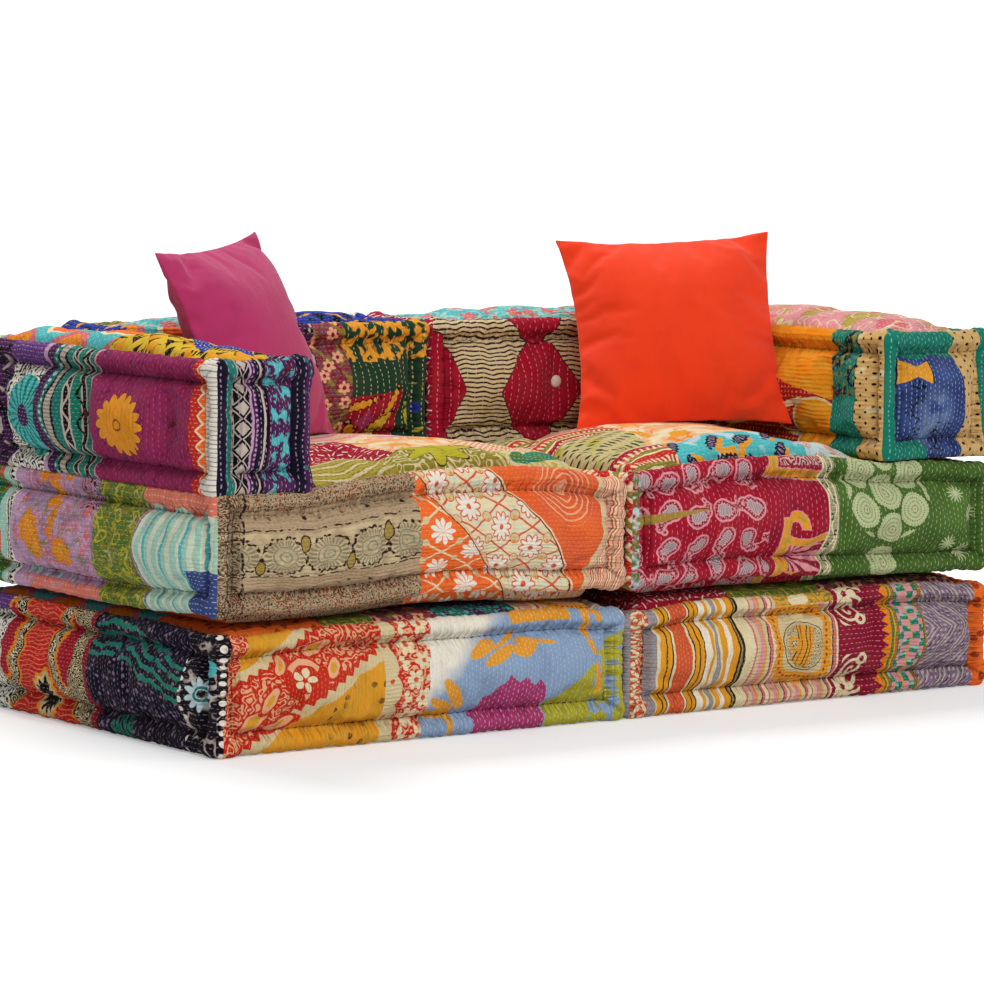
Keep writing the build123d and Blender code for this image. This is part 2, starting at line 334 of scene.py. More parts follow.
class Cloth:
    """The material of one patch while it is made. u and v are millimetres from its corner."""

    def __init__(self, name, shake=0):
        self.name = name
        self.drawn = None
        self.material = new_material(name)
        self.tree = self.material.node_tree
        place = step(self.tree, "ShaderNodeUVMap", uv_map="cloth")
        apart = step(self.tree, "ShaderNodeSeparateXYZ", place).node.outputs
        self.flat_u = self.u = Field(self.tree, apart[0]) * 1000
        self.flat_v = self.v = Field(self.tree, apart[1]) * 1000
        if shake:
            self.u, self.v = self.shaken(shake, 16)

    def noise(self, size, seed=0, detail=1.0, u=None, v=None):
        """Soft random blobs of about this size, between 0 and 1."""
        u = self.flat_u if u is None else u
        v = self.flat_v if v is None else v
        return noise_at(self.tree, u / size, v / size, detail, seed)

    def blotches(self, share, size, seed, soft=0.1, detail=1.0):
        """1 on random blotches. About half of the cloth is blotched at a share of 0.5."""
        return inside(share - self.noise(size, seed, detail), soft)

    def shaken(self, by, size):
        """Places moved about by noise, as hand-stamped lines are."""
        u = self.u + (self.noise(size, 1) - 0.5) * (by * 4)
        v = self.v + (self.noise(size, 2) - 0.5) * (by * 4)
        return u, v

    def scattered(self, size, loose):
        """Loosely scattered motifs: the place from the nearest one's middle, and its own chance."""
        point = step(self.tree, "ShaderNodeCombineXYZ", self.u / size, self.v / size)
        kind = {"voronoi_dimensions": "2D"}
        cells = step(self.tree, "ShaderNodeTexVoronoi", Vector=point, Scale=1, Randomness=loose, **kind)
        cells = cells.node.outputs
        middle = step(self.tree, "ShaderNodeSeparateXYZ", cells["Position"]).node.outputs
        chance = step(self.tree, "ShaderNodeSeparateColor", cells["Color"])
        x = self.u - Field(self.tree, middle[0]) * size
        y = self.v - Field(self.tree, middle[1]) * size
        return x, y, Field(self.tree, chance)

    def strewn(self, size, loose):
        """Scattered motifs, each turned by its own angle."""
        x, y, chance = self.scattered(size, loose)
        turn = chance * (2 * math.pi)
        c, s = cosine(turn), calculate("SINE", turn)
        return x * c + y * s, y * c - x * s

    def scribble(self, size, gap, half, seed=3):
        """Thin curling lines, which follow the heights of a noise."""
        heights = self.noise(size, seed, 0.5) * (10 / gap)
        return inside((abs(fraction(heights) - 0.5) - half) * 4, 0.5)

    def specks(self, size, share):
        """Small scattered dots, of which this share are left out."""
        x, y, chance = self.scattered(size, 0.9)
        return blob(x, y, size * 0.28) & inside(share - chance, 0.05)

    def paint(self, under, over, mask):
        """Lays one colour over another where the mask is 1."""
        return mixed(self.tree, under, over, mask)

    def ground(self, under, over, mask):
        """Starts the print with a ground of two colours."""
        self.drawn = self.paint(under, over, mask)

    def lay(self, over, mask):
        """Lays a colour over all that is drawn so far."""
        self.drawn = self.paint(self.drawn, over, mask)

    def stripes(self, across, bands):
        """Bands of colour, in order, as a list of width and dye, which repeat."""
        total = sum(width for width, _ in bands)
        ramp = self.tree.nodes.new("ShaderNodeValToRGB")
        ramp.color_ramp.interpolation = "CONSTANT"
        marks = ramp.color_ramp.elements
        place = 0
        for index, (width, name) in enumerate(bands):
            mark = marks[index] if index < 2 else marks.new(place / total)
            mark.position = place / total
            mark.color = dye(name)
            place += width
        self.tree.links.new(fraction(across / total).socket, ramp.inputs[0])
        return ramp.outputs[0]


# %% [markdown]
# ## Running stitches and quilting
# Old saris are layered and held by rows of small running stitches. The thread shows as light
# dashes, and pulls the layers into fine ripples between the rows. One node group does this for
# every patch; its inputs are the print, the row gap, the stitch pitch and the thread. It also
# reads how far each place is from the cushion's edge, to paint shade into the sewn groove and
# its folds.

# %% A node tree with named sockets
def new_tree(name, kind, inputs, outputs):
    """An empty node tree. Each socket is given with the last word of its type."""
    tree = bpy.data.node_groups.new(name, kind)
    for way, sockets in (("INPUT", inputs), ("OUTPUT", outputs)):
        for label, socket in sockets.items():
            tree.interface.new_socket(label, in_out=way, socket_type="NodeSocket" + socket)
    return tree, tree.nodes.new("NodeGroupInput").outputs, tree.nodes.new("NodeGroupOutput").inputs


quilt_inputs = {
    "Print": "Color", "Along": "Float", "Across": "Float", "Row Gap": "Float", "Pitch": "Float",
    "Thread": "Color", "Thread Share": "Float",
}
quilting, quilt_in, quilt_out = new_tree(
    "quilting", "ShaderNodeTree", quilt_inputs, {"Colour": "Color", "Height": "Float"}
)
print("quilting takes", ", ".join(quilt_inputs))

# %% Readings inside the group
def quilt_noise(size_along, size_across, detail):
    return noise_at(quilting, quilt_along / size_along, quilt_across / size_across, detail)


def edge_reading(name):
    """A distance on the cushion's surface in millimetres, written on its mesh."""
    readings = step(quilting, "ShaderNodeAttribute", attribute_name=name).node.outputs
    return Field(quilting, readings["Fac"]) * 1000


def edge_folds(edge, along, spacing):
    """Sharp valleys across an edge, at uneven distances along it."""
    heights = noise_at(quilting, along / spacing, edge / (spacing * 7), 1.5)
    return inside(abs(heights - 0.5), 0.12) * 2


quilt_along, quilt_across, row_gap, pitch, thread_share = (
    Field(quilting, quilt_in[name]) for name in ("Along", "Across", "Row Gap", "Pitch", "Thread Share")
)
edge, along = edge_reading("edge"), edge_reading("along")
print(len(quilting.nodes), "nodes read the cloth")

# %% Groove, folds, rows and threads
EDGE_GROOVE = 25.5
# A noise that wobbles the line of the sewn groove, along which shade is painted.
groove_wobble = quilt_noise(37, 37, 1)
near_groove = inside(abs(edge - EDGE_GROOVE + 4) - 9, 16)
folds = edge_folds(edge, along, 9.0) & near_groove
groove = inside(abs(edge - EDGE_GROOVE + (groove_wobble - 0.5) * 5) - 0.7, 2.6)
drift = (quilt_noise(46, 46, 1) - 0.5) * 7
rows = (quilt_across + drift) / row_gap
odd_row = fraction(floor(rows) * 0.5)
uneven = (quilt_noise(11, 5, 0) - 0.5) * 0.9
off_row = abs(fraction(rows) - 0.5) * row_gap
off_dash = abs(fraction(quilt_along / pitch + odd_row + uneven) - 0.5)
thread = inside(off_row - 0.62, 0.7) & inside(off_dash - 0.22, 0.16)
print("the groove is", EDGE_GROOVE, "mm from the edge")

# %% Colour and height of quilted cloth
FADED, SOILED, GRAINY = (0.55, 0.48, 0.38, 1), (0.30, 0.24, 0.20, 1), (0.5, 0.45, 0.42, 1)
FOLD_SHADE, GROOVE_SHADE = (0.26, 0.21, 0.19, 1), (0.14, 0.11, 0.10, 1)
worn = quilt_noise(70, 70, 3)
grain = quilt_noise(1.3, 1.3, 1)
colour = mixed(quilting, quilt_in["Print"], FADED, (worn - 0.45) * 0.12)
colour = mixed(quilting, colour, SOILED, (0.47 - worn) * 0.9, "MULTIPLY")
colour = mixed(quilting, colour, GRAINY, (grain - 0.35) * 0.6, "MULTIPLY")
colour = mixed(quilting, colour, quilt_in["Thread"], thread * thread_share)
# Painted shade: the colour is darkened in the folds beside the rolls and along the sewn groove, where shade
# falls.
colour = mixed(quilting, colour, FOLD_SHADE, folds * 0.55, "MULTIPLY")
colour = mixed(quilting, colour, GROOVE_SHADE, groove * 0.55, "MULTIPLY")
ripple = cosine((fraction(rows) - 0.5) * (2 * math.pi)) * -0.42
crumple = (quilt_noise(17, 12, 3) - 0.5) * 3.4
height = ripple * (0.7 + quilt_noise(30, 30, 1)) + crumple * 1.2 + thread * 0.35 + grain * 0.22
height = height - folds * 1.3 - groove * 1.2
quilting.links.new(colour, quilt_out["Colour"])
quilting.links.new(height.socket, quilt_out["Height"])
print("quilting:", len(quilting.nodes), "nodes")

# %% Finish a patch
BUMP_STEP = 0.001
CLOTHS = {}


def surfaced(material, colour, height, rough, specular, sheen=0.0, bump_step=BUMP_STEP):
    """Gives a material its colour, its relief and the dry surface of cotton."""
    tree = material.node_tree
    bump = step(tree, "ShaderNodeBump", Height=height, Distance=bump_step)
    shader = tree.nodes["Principled BSDF"].inputs
    shader["Roughness"].default_value = rough
    shader["Specular IOR Level"].default_value = specular
    shader["Sheen Weight"].default_value = sheen
    tree.links.new(colour, shader["Base Color"])
    tree.links.new(bump, shader["Normal"])
    return material


def quilted(shake, thread="cream", share=0.75, row=7.0, pitch=8.0, upright=False):
    """Goes above a function that draws a print: makes its cloth, and quilts it."""

    def make(draw):
        cloth = Cloth(draw.__name__, shake)
        draw(cloth, cloth.u, cloth.v)
        along, across = (cloth.flat_v, cloth.flat_u) if upright else (cloth.flat_u, cloth.flat_v)
        group = cloth.tree.nodes.new("ShaderNodeGroup")
        group.node_tree = quilting
        cloth.tree.links.new(cloth.drawn, group.inputs["Print"])
        cloth.tree.links.new(along.socket, group.inputs["Along"])
        cloth.tree.links.new(across.socket, group.inputs["Across"])
        group.inputs["Row Gap"].default_value = row
        group.inputs["Pitch"].default_value = pitch
        group.inputs["Thread"].default_value = dye(thread)
        group.inputs["Thread Share"].default_value = share
        surfaced(cloth.material, group.outputs["Colour"], group.outputs["Height"], 0.88, 0.07, 0.015)
        CLOTHS[cloth.name] = cloth.material
        return draw

    return make


# %% [markdown]
# ## The prints of the upper seats
# Each function below draws one old print: block-printed medallions, lattices, paisleys and
# borders. They are ordinary bazaar patterns, drawn from the same few motifs. The sizes are in
# millimetres on the cloth.

# %% Upper left seat, front
@quilted(1.8, "stone", 0.35, 6, 7)
def beige_print(c, u, v):
    x, y = wrap(u - 27, 73), v - 93
    oval = length(x * 0.74, y)
    c.ground("sand", "taupe", inside(abs(wrap(v, 8)) - 0.7) & inside(abs(wrap(u, 9)) - 2.6))
    c.lay("ecru", between(v, 60, 128) & c.blotches(0.56, 20, 4, 0.5))
    scallops = wave(bearing(x, y), 2 * math.pi / 15) * 1.3
    rim = oval - 27 - scallops
    c.lay("umber", line(rim, 2.0) & c.blotches(0.44, 6, 8))
    c.lay("taupe", inside(cosine(bearing(x, y) * 26) - 0.2) & line(oval - 20, 4))
    c.lay("celadon", inside(oval - 16) & c.blotches(0.5, 9, 6, 0.2))
    c.lay("taupe", line(wrap(oval, 7), 1) & inside(oval - 17))
    small_x, small_y = wrap(u + 10, 146), v - 110
    other_x, other_y = wrap(u - 63, 146), v - 76
    for sx, sy in ((small_x, small_y), (other_x, other_y)):
        bud = ellipse(sx, sy, 6, 11)
        c.lay("umber", inside(bud - 1.6))
        c.lay("old_gold", inside(bud))
    cut = c.blotches(0.47, 9, 11)
    c.lay("umber", (line(v - 132, 1.2) | line(v - 61, 1.2)) & cut)
    blobs = inside(ellipse(wrap(u, 21), v - 149, 5, 2.6)) | inside(ellipse(wrap(u - 7, 19), v - 38, 5, 2.6))
    c.lay("umber", blobs & c.blotches(0.55, 19, 7))
    ends = inside(v - 30) | inside(158 - v)
    c.lay("umber", c.specks(4.2, 0.45) & ends)
    c.lay("russet", c.specks(6, 0.3) & ends & c.blotches(0.52, 30, 3))
    c.lay("brown", c.scribble(9, 1.8, 0.1, 7) & ends)
    frame = (line(u - 38, 1.8) | line(u - 12, 1.4)) & c.blotches(0.42, 10, 12)
    c.lay("umber", frame)
    c.lay("brown", c.scribble(8, 1.8, 0.2, 9) & inside(u - 34))


@quilted(0.9, "peach", 0.3, 6)
def orange_lattice(c, u, v):
    x, y = half_drop(u - 131, v - 103, 106, 64)
    lean = (u - 131) * 0.604
    bars = line(wrap(v - 135 + lean, 64), 1.7) | line(wrap(v - 135 - lean, 64), 1.7)
    dot_x, dot_y = wrap(u - 157.5, 53), wrap(v - 119, 32)
    dot = length(dot_x, dot_y)
    gaps = inside(-cosine(bearing(x, y) * 9) - 0.86, 0.1)
    ground = c.paint("orange", "cream", bars)
    ground = c.paint(ground, "orange", blob(x, y, 21))
    ground = c.paint(ground, "white", inside(length(x, y) - 17 - cosine(bearing(x, y) * 9) * 3) & gaps)
    ground = c.paint(ground, "ecru", inside(dot - 5.5))
    pale = c.paint("cream", "pale_mint", c.blotches(0.6, 13, 5) & inside(22 - length(x, y)))
    pale = c.paint(pale, "coral", bars)
    pale = c.paint(pale, "cream", blob(x, y, 20))
    pale = c.paint(pale, "coral", inside(petals(x, y, 10, 22, 5.2)))
    pale = c.paint(pale, "white", inside(petals(x, y, 10, 20, 3.4)))
    pale = c.paint(pale, "coral", blob(x, y, 4))
    pale = c.paint(pale, "coral", line(dot - 7, 0.7))
    pale = c.paint(pale, "ecru", inside(dot - 6))
    pale = c.paint(pale, "amber", blob(dot_x, dot_y + 4, 2.4))
    edge_1 = u + v * 0.86 - 148
    edge_2 = u - 273 + v * 0.35 + v * v * 0.0027
    c.ground(ground, pale, inside(-edge_1))
    c.lay("brown", line(edge_1, 1.2))
    c.lay("peach", line(edge_1 - 4, 1.4))
    plain = c.paint("orange", "coral", c.blotches(0.5, 60, 8, 0.6))
    ring_x, ring_y = u - 257, v - 158
    pinch = length(ring_x, ring_y) + abs(ring_y) * farther(-ring_x, 0) * 0.006
    rings = line(wrap(pinch, 9.5), 1.3) & inside(abs(pinch - 30) - 26)
    plain = c.paint(plain, "peach", rings | inside(pinch - 7))
    c.lay(plain, inside(-edge_2))
    c.lay("umber", line(edge_2, 1.2))
    c.lay("cream", line(edge_2 - 3.8, 1.5))
    side = u - 322 + farther(95 - v, 0) * 0.3
    waves = c.stripes(
        side * 1.1 + wave(v, 39) * 2.2 + wave(v, 15) * 0.8 + 300,
        [(2, "coral"), (3, "cream"), (2, "salmon"), (3, "peach"), (2, "stone"), (2, "coral"), (2, "cream")],
    )
    c.lay(waves, inside(-side))
    c.lay("ecru", line(side - 5, 4))


print(len(CLOTHS), "cloths so far")

# %% Upper right seat, front
@quilted(0.7, "pink", 0.55, 8.5, 9, upright=True)
def crimson_paisleys(c, u, v):
    x, y = c.strewn(52, 0.24)
    body = None
    for x0, y0, radius in ((-10, -5, 15.5), (1, -3, 13), (12, 4, 8.8), (16.5, 13, 5.6), (12, 20, 4)):
        ball = length(x - x0, y - y0) - radius
        body = ball if body is None else calculate("SMOOTH_MIN", body, ball, 3)
    c.ground("crimson", "pink", inside(body - 1.2))
    c.lay("maroon", inside(body + 1.8))
    beads = blob(wrap(x, 4.6), wrap(y, 4.6), 1.4)
    c.lay("pink", beads & inside(body + 2.4))
    c.lay("pink", inside(body + 6))
    c.lay("stone", inside(body + 7.2))
    c.lay("mauve", line(wrap(x + y * 0.3, 3), 0.7) & inside(body + 7.6))
    plain = c.paint("crimson", "maroon", c.blotches(0.54, 45, 6, 0.5))
    c.lay(plain, inside(265 - v * 0.2 - u))
    rough = (c.noise(5, 9) - 0.5) * 5
    twig = abs(v - 107 - u * 0.05) - (138 - u) * 0.07 + rough * 0.6
    leg = nearer(8 - abs(u - 287 + square(v - 50) * 0.001), 90 - v)
    arch = nearer(6.5 - abs(length(u - 309, v - 74) - 18), v - 74)
    branch = nearer(7.5 - abs(v - 50 - square(u - 325) * 0.007), u - 284)
    foot = 9 - abs(v - 12 + (u - 300) * 0.3) - farther(u - 316, 0)
    hook = farther(farther(leg, arch), farther(branch, nearer(foot, u - 282)))
    top = 6 - abs(v - 158 + (u - 258) * 0.06) + rough
    top = nearer(top, u - 256)
    spike = nearer(8 - abs(u - 266 - (v - 160) * 0.5), v - 156)
    gold = farther(farther(hook + rough * 0.7, top), spike)
    c.lay("old_gold", inside(twig))
    c.lay("pink", inside(-gold - 1.6))
    c.lay("amber", inside(-gold))
    c.lay("khaki", inside(4 - gold) & c.blotches(0.5, 12, 8))
    px, py = u - 300, v - 26
    fan = inside(300 - u) & inside(abs(py + (u - 300) * 0.02) - 22) & inside(v - 44 - square(u - 325) * 0.007)
    leaf = fan & line(wrap(bearing(px, py) * 22, 9), 2.6)
    c.lay("maroon", fan)
    c.lay("pink", leaf)
    scrolls = inside(166 - v) & inside(284 - u) & c.scribble(13, 1.8, 0.2, 5)
    c.lay("stone", scrolls)
    c.lay("leaf", inside(u - 9) & c.blotches(0.5, 14, 13, 0.2))
    c.lay("ice", inside(u - 9) & c.blotches(0.58, 11, 17))


@quilted(0.8, "cream", 0.5, 6, 7)
def scroll_border(c, u, v):
    bend = u - 11 - wave(v, 46) * 5
    side = cosine(v * (2 * math.pi / 46)) * 6
    c.ground("taupe", "sage", c.scribble(8, 1.2, 0.16))
    c.lay("cream", line(bend, 1.6))
    c.lay("deep_green", line(length(u - 11 + side, wrap(v, 23)) - 4, 1.2))
    c.lay("cream", line(u - 1.5, 1.4) | line(u - 20.5, 1.4))


@quilted(0.7, "sage", 0.7, 8.2, 9.5, upright=True)
def green_medallions(c, u, v):
    x, y = half_drop(u - 108, v - 134, 102, 60)
    radius = length(x, y)
    near = blob(u - 108, v - 138, 86) | blob(u - 108, v - 12, 30)
    disc = radius - 27 - cosine(bearing(x, y) * 30) * 0.8
    c.ground("green", "leaf", c.blotches(0.5, 70, 4, 0.7))
    c.lay("sage", inside(disc) & near)
    beads = inside(cosine(bearing(x, y) * 30) * 0.5)
    rings = line(wrap(radius, 6.2), 1.1) & beads
    c.lay("leaf", rings & inside(disc + 2) & near)
    c.lay("taupe", blob(wrap(x, 6), wrap(y, 6), 1.5) & inside(radius - 7) & near)
    for x0, y0 in ((252, 128), (292, 92), (240, 42), (276, 26)):
        sx, sy = u - x0, v - y0
        burst = length(sx, sy) - 10 - cosine(bearing(sx, sy) * 13) * 6
        c.lay("sage", inside(burst))


print(len(CLOTHS), "cloths so far")

# %% Sides of the upper seats
@quilted(1.2, "white", 0.5)
def mint_stripes(c, u, v):
    bow = u + cosine((v - 96) / 70) * 10
    c.drawn = c.stripes(bow, [
        (9, "mint"), (2.5, "cream"), (7, "pale_mint"), (2, "sage"), (10, "mint"), (3, "pale_mint"),
        (2.5, "cream"), (6, "turquoise"),
    ])
    c.lay("blue", inside(118 - u) & inside(v - 70))
    c.lay("mauve", between(bow, 3, 12))
    c.lay("pink", between(bow, 7, 9))
    c.lay("salmon", inside(156 - v + wave(u, 70) * 4))


@quilted(1.2, "ecru", 0.5)
def olive_vines(c, u, v):
    bend = u - wave(v, 90) * 14
    x = wrap(bend, 52)
    stem = line(x, 1.6) | line(length(x - 9, wrap(v, 34)) - 9, 1.5)
    stem = stem | inside(petals(x + 10, wrap(v - 17, 34), 5, 9, 2.6))
    c.ground("leaf", "olive", c.scribble(15, 2.4, 0.22))
    c.lay("lime", stem)
    c.lay("ecru", c.scribble(20, 2.4, 0.07, 7) & c.blotches(0.6, 30, 3))


@quilted(1.6, "white", 0.4)
def lilac_flowers(c, u, v):
    c.ground("lilac", "mauve", c.blotches(0.56, 22, 4, 0.3))
    c.lay("rose", c.scribble(18, 2.4, 0.2) & c.blotches(0.5, 40, 6))
    for x0, y0, long, high, turn in (
        (40, 92, 21, 34, 12), (56, 68, 17, 20, 20), (102, 112, 13, 28, -8), (134, 66, 25, 24, 30),
        (92, 158, 14, 30, 0), (60, 184, 18, 14, 0), (128, 190, 18, 16, 0),
    ):
        x, y = turned(u - x0, v - y0, turn)
        ragged = wave(bearing(x, y), 2 * math.pi / 7) * 2.6 + (c.noise(7, 7) - 0.5) * 9
        bloom = ellipse(x, y, long, high) + ragged
        c.lay("tangerine", inside(bloom))
        c.lay("amber", inside(bloom + 6) & c.scribble(9, 2, 0.22, 8))
    c.lay("olive", line(c.noise(26, 12) - 0.5, 0.012, 0.02) & inside(abs(v - 110) - 62))
    foot = inside(v - 24 - wave(u, 70) * 5) & c.blotches(0.62, 17, 14, 0.06)
    c.lay("mint", foot)
    c.lay("salmon", inside(v - 16) & c.blotches(0.4, 14, 16, 0.06))
    corner = inside(165 - u) & inside(138 - v)
    c.lay("ink", c.scribble(12, 1.6, 0.15, 5) & corner)


@quilted(0.6, "white", 0.5)
def triangle_border(c, u, v):
    arc = u - 76 + square(v - 95) * 0.0022
    ground = c.paint("leaf", "jade", c.blotches(0.54, 18, 4))
    ground = c.paint(ground, "mint", between(arc, -14, 0))
    ground = c.paint(ground, "coral", between(arc, -24, -12) & c.blotches(0.5, 24, 9, 0.06))
    border = c.paint(
        "white", "ink",
        inside(abs(wrap(v, 8)) - (19 - arc) * 0.36) & inside(8 - arc) | line(arc - 4, 1.1),
    )
    border = c.paint(border, "ink", c.specks(4, 0.5) & inside(arc - 7))
    c.ground(ground, border, inside(-arc))
    c.lay("lilac", inside(22 - arc))


print(len(CLOTHS), "cloths so far")

# %% [markdown]
# ## The prints of the lower seats
# The lower pair carries the boldest pieces: stamped ogees, striped borders and a field of leaves.
# A picture could draw them too, but a formula stays sharp close by and keeps its true size.

# %% Lower left seat
@quilted(1.3, "mustard", 0.5, 6, upright=True)
def mustard_paisleys(c, u, v):
    along, across = turned(u - 130, v - 104, 31)
    c.ground("mustard", "amber", c.blotches(0.5, 34, 3, 0.4))
    c.lay("brown", c.specks(17, 0.25) & c.blotches(0.5, 40, 5, 0.2) & inside(180 - u))
    c.lay("ecru", line(across - 7, 62) | inside(abs(u - 275) - 7))
    band = abs(across - 7) - 42 - abs(wrap(along, 19)) * 0.9
    c.lay("scarlet", inside(band))
    c.lay("peach", c.scribble(12, 2.2, 0.2) & inside(band + 9))
    ring = length(u - 130, v - 104)
    c.lay("scarlet", inside(ring - 38))
    c.lay("peach", line(ring - 29, 5) & inside(-(v - 104) - 34 + abs(u - 130) * 2))
    c.lay("cream", inside(petals(u - 128, v - 102, 5, 21, 5.5)) & inside(ring - 23))
    for x0, y0, turn, long, high in (
        (50, 42, 40, 24, 11), (72, 74, 62, 20, 8), (96, 34, 14, 24, 7), (92, 130, 70, 19, 8),
        (178, 118, 60, 18, 9), (160, 152, 20, 22, 8),
    ):
        x, y = turned(u - x0, v - y0, turn)
        leaf = ellipse(x, y, long, high)
        c.lay("scarlet", inside(leaf - 3))
        c.lay("peach", inside(leaf))
        c.lay("mustard", inside(leaf + 4))
    edge = c.paint("scarlet", "peach", c.scribble(9, 2.2, 0.2, 5))
    c.lay(edge, inside(u - 8 - (v - 60) * 0.3))


@quilted(0.9, "cream", 0.4, 6)
def zigzag_floral(c, u, v):
    tooth = u - 17 - abs(wrap(v - 8, 44)) * 0.62
    c.ground("ecru", "scarlet", inside(-tooth))
    swirl = c.scribble(13, 2.2, 0.2, 4)
    c.lay("peach", swirl & inside(28 - u))
    c.lay("scarlet", line(u - 27, 2))
    c.lay("peach", blob(u - 27, wrap(v, 11), 1.6) & inside(24 - u))
    x, y = half_drop(u - 49, v - 30, 40, 58)
    c.lay("cream", inside(petals(x, y, 6, 16, 4.2)) & inside(30 - u))
    c.lay("coral", blob(x, y, 4))
    c.lay("ecru", inside(-tooth - 0) & inside(u - 14))


@quilted(0.9, "ice", 0.6, upright=True)
def sky_leaves(c, u, v):
    fade = inside(u - (v - 48) * 1.04 - (c.noise(35, 2) - 0.5) * 30, 40)
    c.ground("sky", "white", fade)
    leaves = line(u - 52, 5) & inside(v - 26)
    for x0, y0, turn, long, high in (
        (105, 128, 30, 27, 9), (134, 115, 28, 29, 8), (182, 123, 14, 21, 12), (146, 138, 24, 27, 3),
        (201, 134, -10, 35, 3.5), (51, 58, -54, 29, 8), (32, 43, -26, 23, 6.5), (27, 29, -4, 27, 6),
    ):
        x, y = turned(u - x0, v - y0, turn)
        leaves = leaves | inside(ellipse(x, y, long * 1.1, high * 1.25))
    c.lay("amber", leaves)
    top = inside(164 - v) & inside(abs(u - 210) - 52 + wave(u, 46) * 9)
    c.lay("amber", top | inside(164 - v) & inside(abs(u - 312) - 18))
    left_slope = v - 86 - (u - 151) * 1.05 + wave(u, 19) * 2
    right_slope = v - 77 + (u - 151) * 0.22 + wave(u, 31) * 4
    bloom = inside(left_slope) & inside(right_slope) & inside(u - 221)
    c.lay("magenta", bloom & inside(20 - v) | inside(abs(u - 158) - 64) & inside(v - 22))
    leaf = v - 26 - (u - 222) * 0.62 - square(u - 222) * 0.0018
    c.lay("lime", inside(leaf, 2) & inside(224 - u))
    c.lay("amber", line(u - 318 + (v - 60) * 0.15, 6) & inside(40 - v))
    c.lay("sky", inside(306 - u) & c.blotches(0.56, 26, 7, 0.05))


@quilted(1.2, "peach", 0.35, 6, 9)
def red_ogees(c, u, v):
    x, y = wrap(u - 10, 180), v - 114
    ogee = abs(x) - 54 + y * y * 0.0046 + wave(y, 44) * 3
    c.ground("scarlet", "salmon", line(wrap(v + wave(u, 46) * 2.4, 7.5), 0.7))
    c.lay("tangerine", inside(ogee - 4))
    c.lay("ink", inside(ogee))
    c.lay("cream", c.scribble(9, 1.7, 0.2) & inside(ogee + 2))
    core = ogee + 24 + abs(y) * 0.12
    c.lay("tangerine", inside(core - 4 + wave(y, 8) * 2))
    c.lay("crimson", inside(core + 4 + wave(y, 8) * 2))
    dark_x, dark_y = turned(wrap(u - 112, 180), v - 34, -24)
    ragged = wave(bearing(dark_x, dark_y), 0.42) * 2
    drop = ellipse(dark_x, dark_y, 25, 36) + ragged
    c.lay("amber", inside(drop - 5))
    c.lay("ecru", inside(drop))
    c.lay("ink", inside(drop + 6 + ragged))
    right = c.paint("ink", "ecru", c.scribble(8, 1.6, 0.22, 9))
    c.lay(right, inside(196 - u - wave(v, 150) * 12))
    c.lay("maroon", inside(234 - u))


@quilted(1.6, "mauve", 0.8, 7.5, upright=True)
def navy_waves(c, u, v):
    slope = v + farther(u - 90, 0) * 0.34 + wave(u, 66) * 3 + wave(u, 23) * 1.3
    c.ground("navy", "ink", c.blotches(0.5, 40, 3, 0.4))
    c.lay("mauve", c.specks(9, 0.6))
    rows = line(wrap(slope, 17), 3.6) & inside(112 - slope)
    rows = rows & inside(slope - 182)
    c.lay("jade", rows & inside((c.noise(30, 8) - 0.62) * 30))
    patch = ellipse(u - 70, v - 8, 30, 17)
    c.lay("jade", inside(patch) & inside(abs(wrap(u + v, 10)) - 3))


@quilted(1.2, "lilac", 0.4)
def night_floral(c, u, v):
    x, y = u - 44, v - 84
    c.ground("ink", "stone", c.scribble(17, 3.2, 0.13, 6) & c.blotches(0.53, 30, 5))
    c.lay("ice", inside(petals(x, y, 11, 28, 4.4)))
    c.lay("teal", line(length(x, y) - 10, 2.4))
    c.lay("ink", blob(x, y, 4))
    c.lay("white", blob(u - 7, wrap(v, 15), 4.2))
    c.lay("turquoise", inside(ellipse(u - 70, v - 132, 8, 16)))


print(len(CLOTHS), "cloths so far")

# %% Lower right seat
@quilted(0.8, "peach", 0.6, 6, 7)
def coral_strip(c, u, v):
    x, y = half_drop(u, v, 26, 36)
    c.ground("coral", "cream", inside(petals(x, y, 6, 14, 3)))
    c.lay("russet", c.scribble(12, 3, 0.1))
    c.lay("grey", inside(27 - u))


@quilted(0.9, "yellow", 0.6, 6, upright=True)
def warm_stripes(c, u, v):
    bow = u + cosine((v - 92) / 75) * -5
    c.drawn = c.stripes(bow, [
        (8, "amber"), (2, "umber"), (7, "amber"), (2, "umber"), (4, "cream"), (30, "coral"),
        (4, "cream"), (2, "umber"), (7, "amber"), (2, "umber"), (7, "amber"), (2, "umber"),
        (12, "white"), (6, "amber"), (6, "cream"), (9, "grey"), (4, "cream"), (9, "amber"),
        (9, "white"), (12, "amber"), (3, "umber"), (3, "taupe"), (4, "umber"), (20, "cream"),
        (12, "rose"), (6, "cream"),
    ])


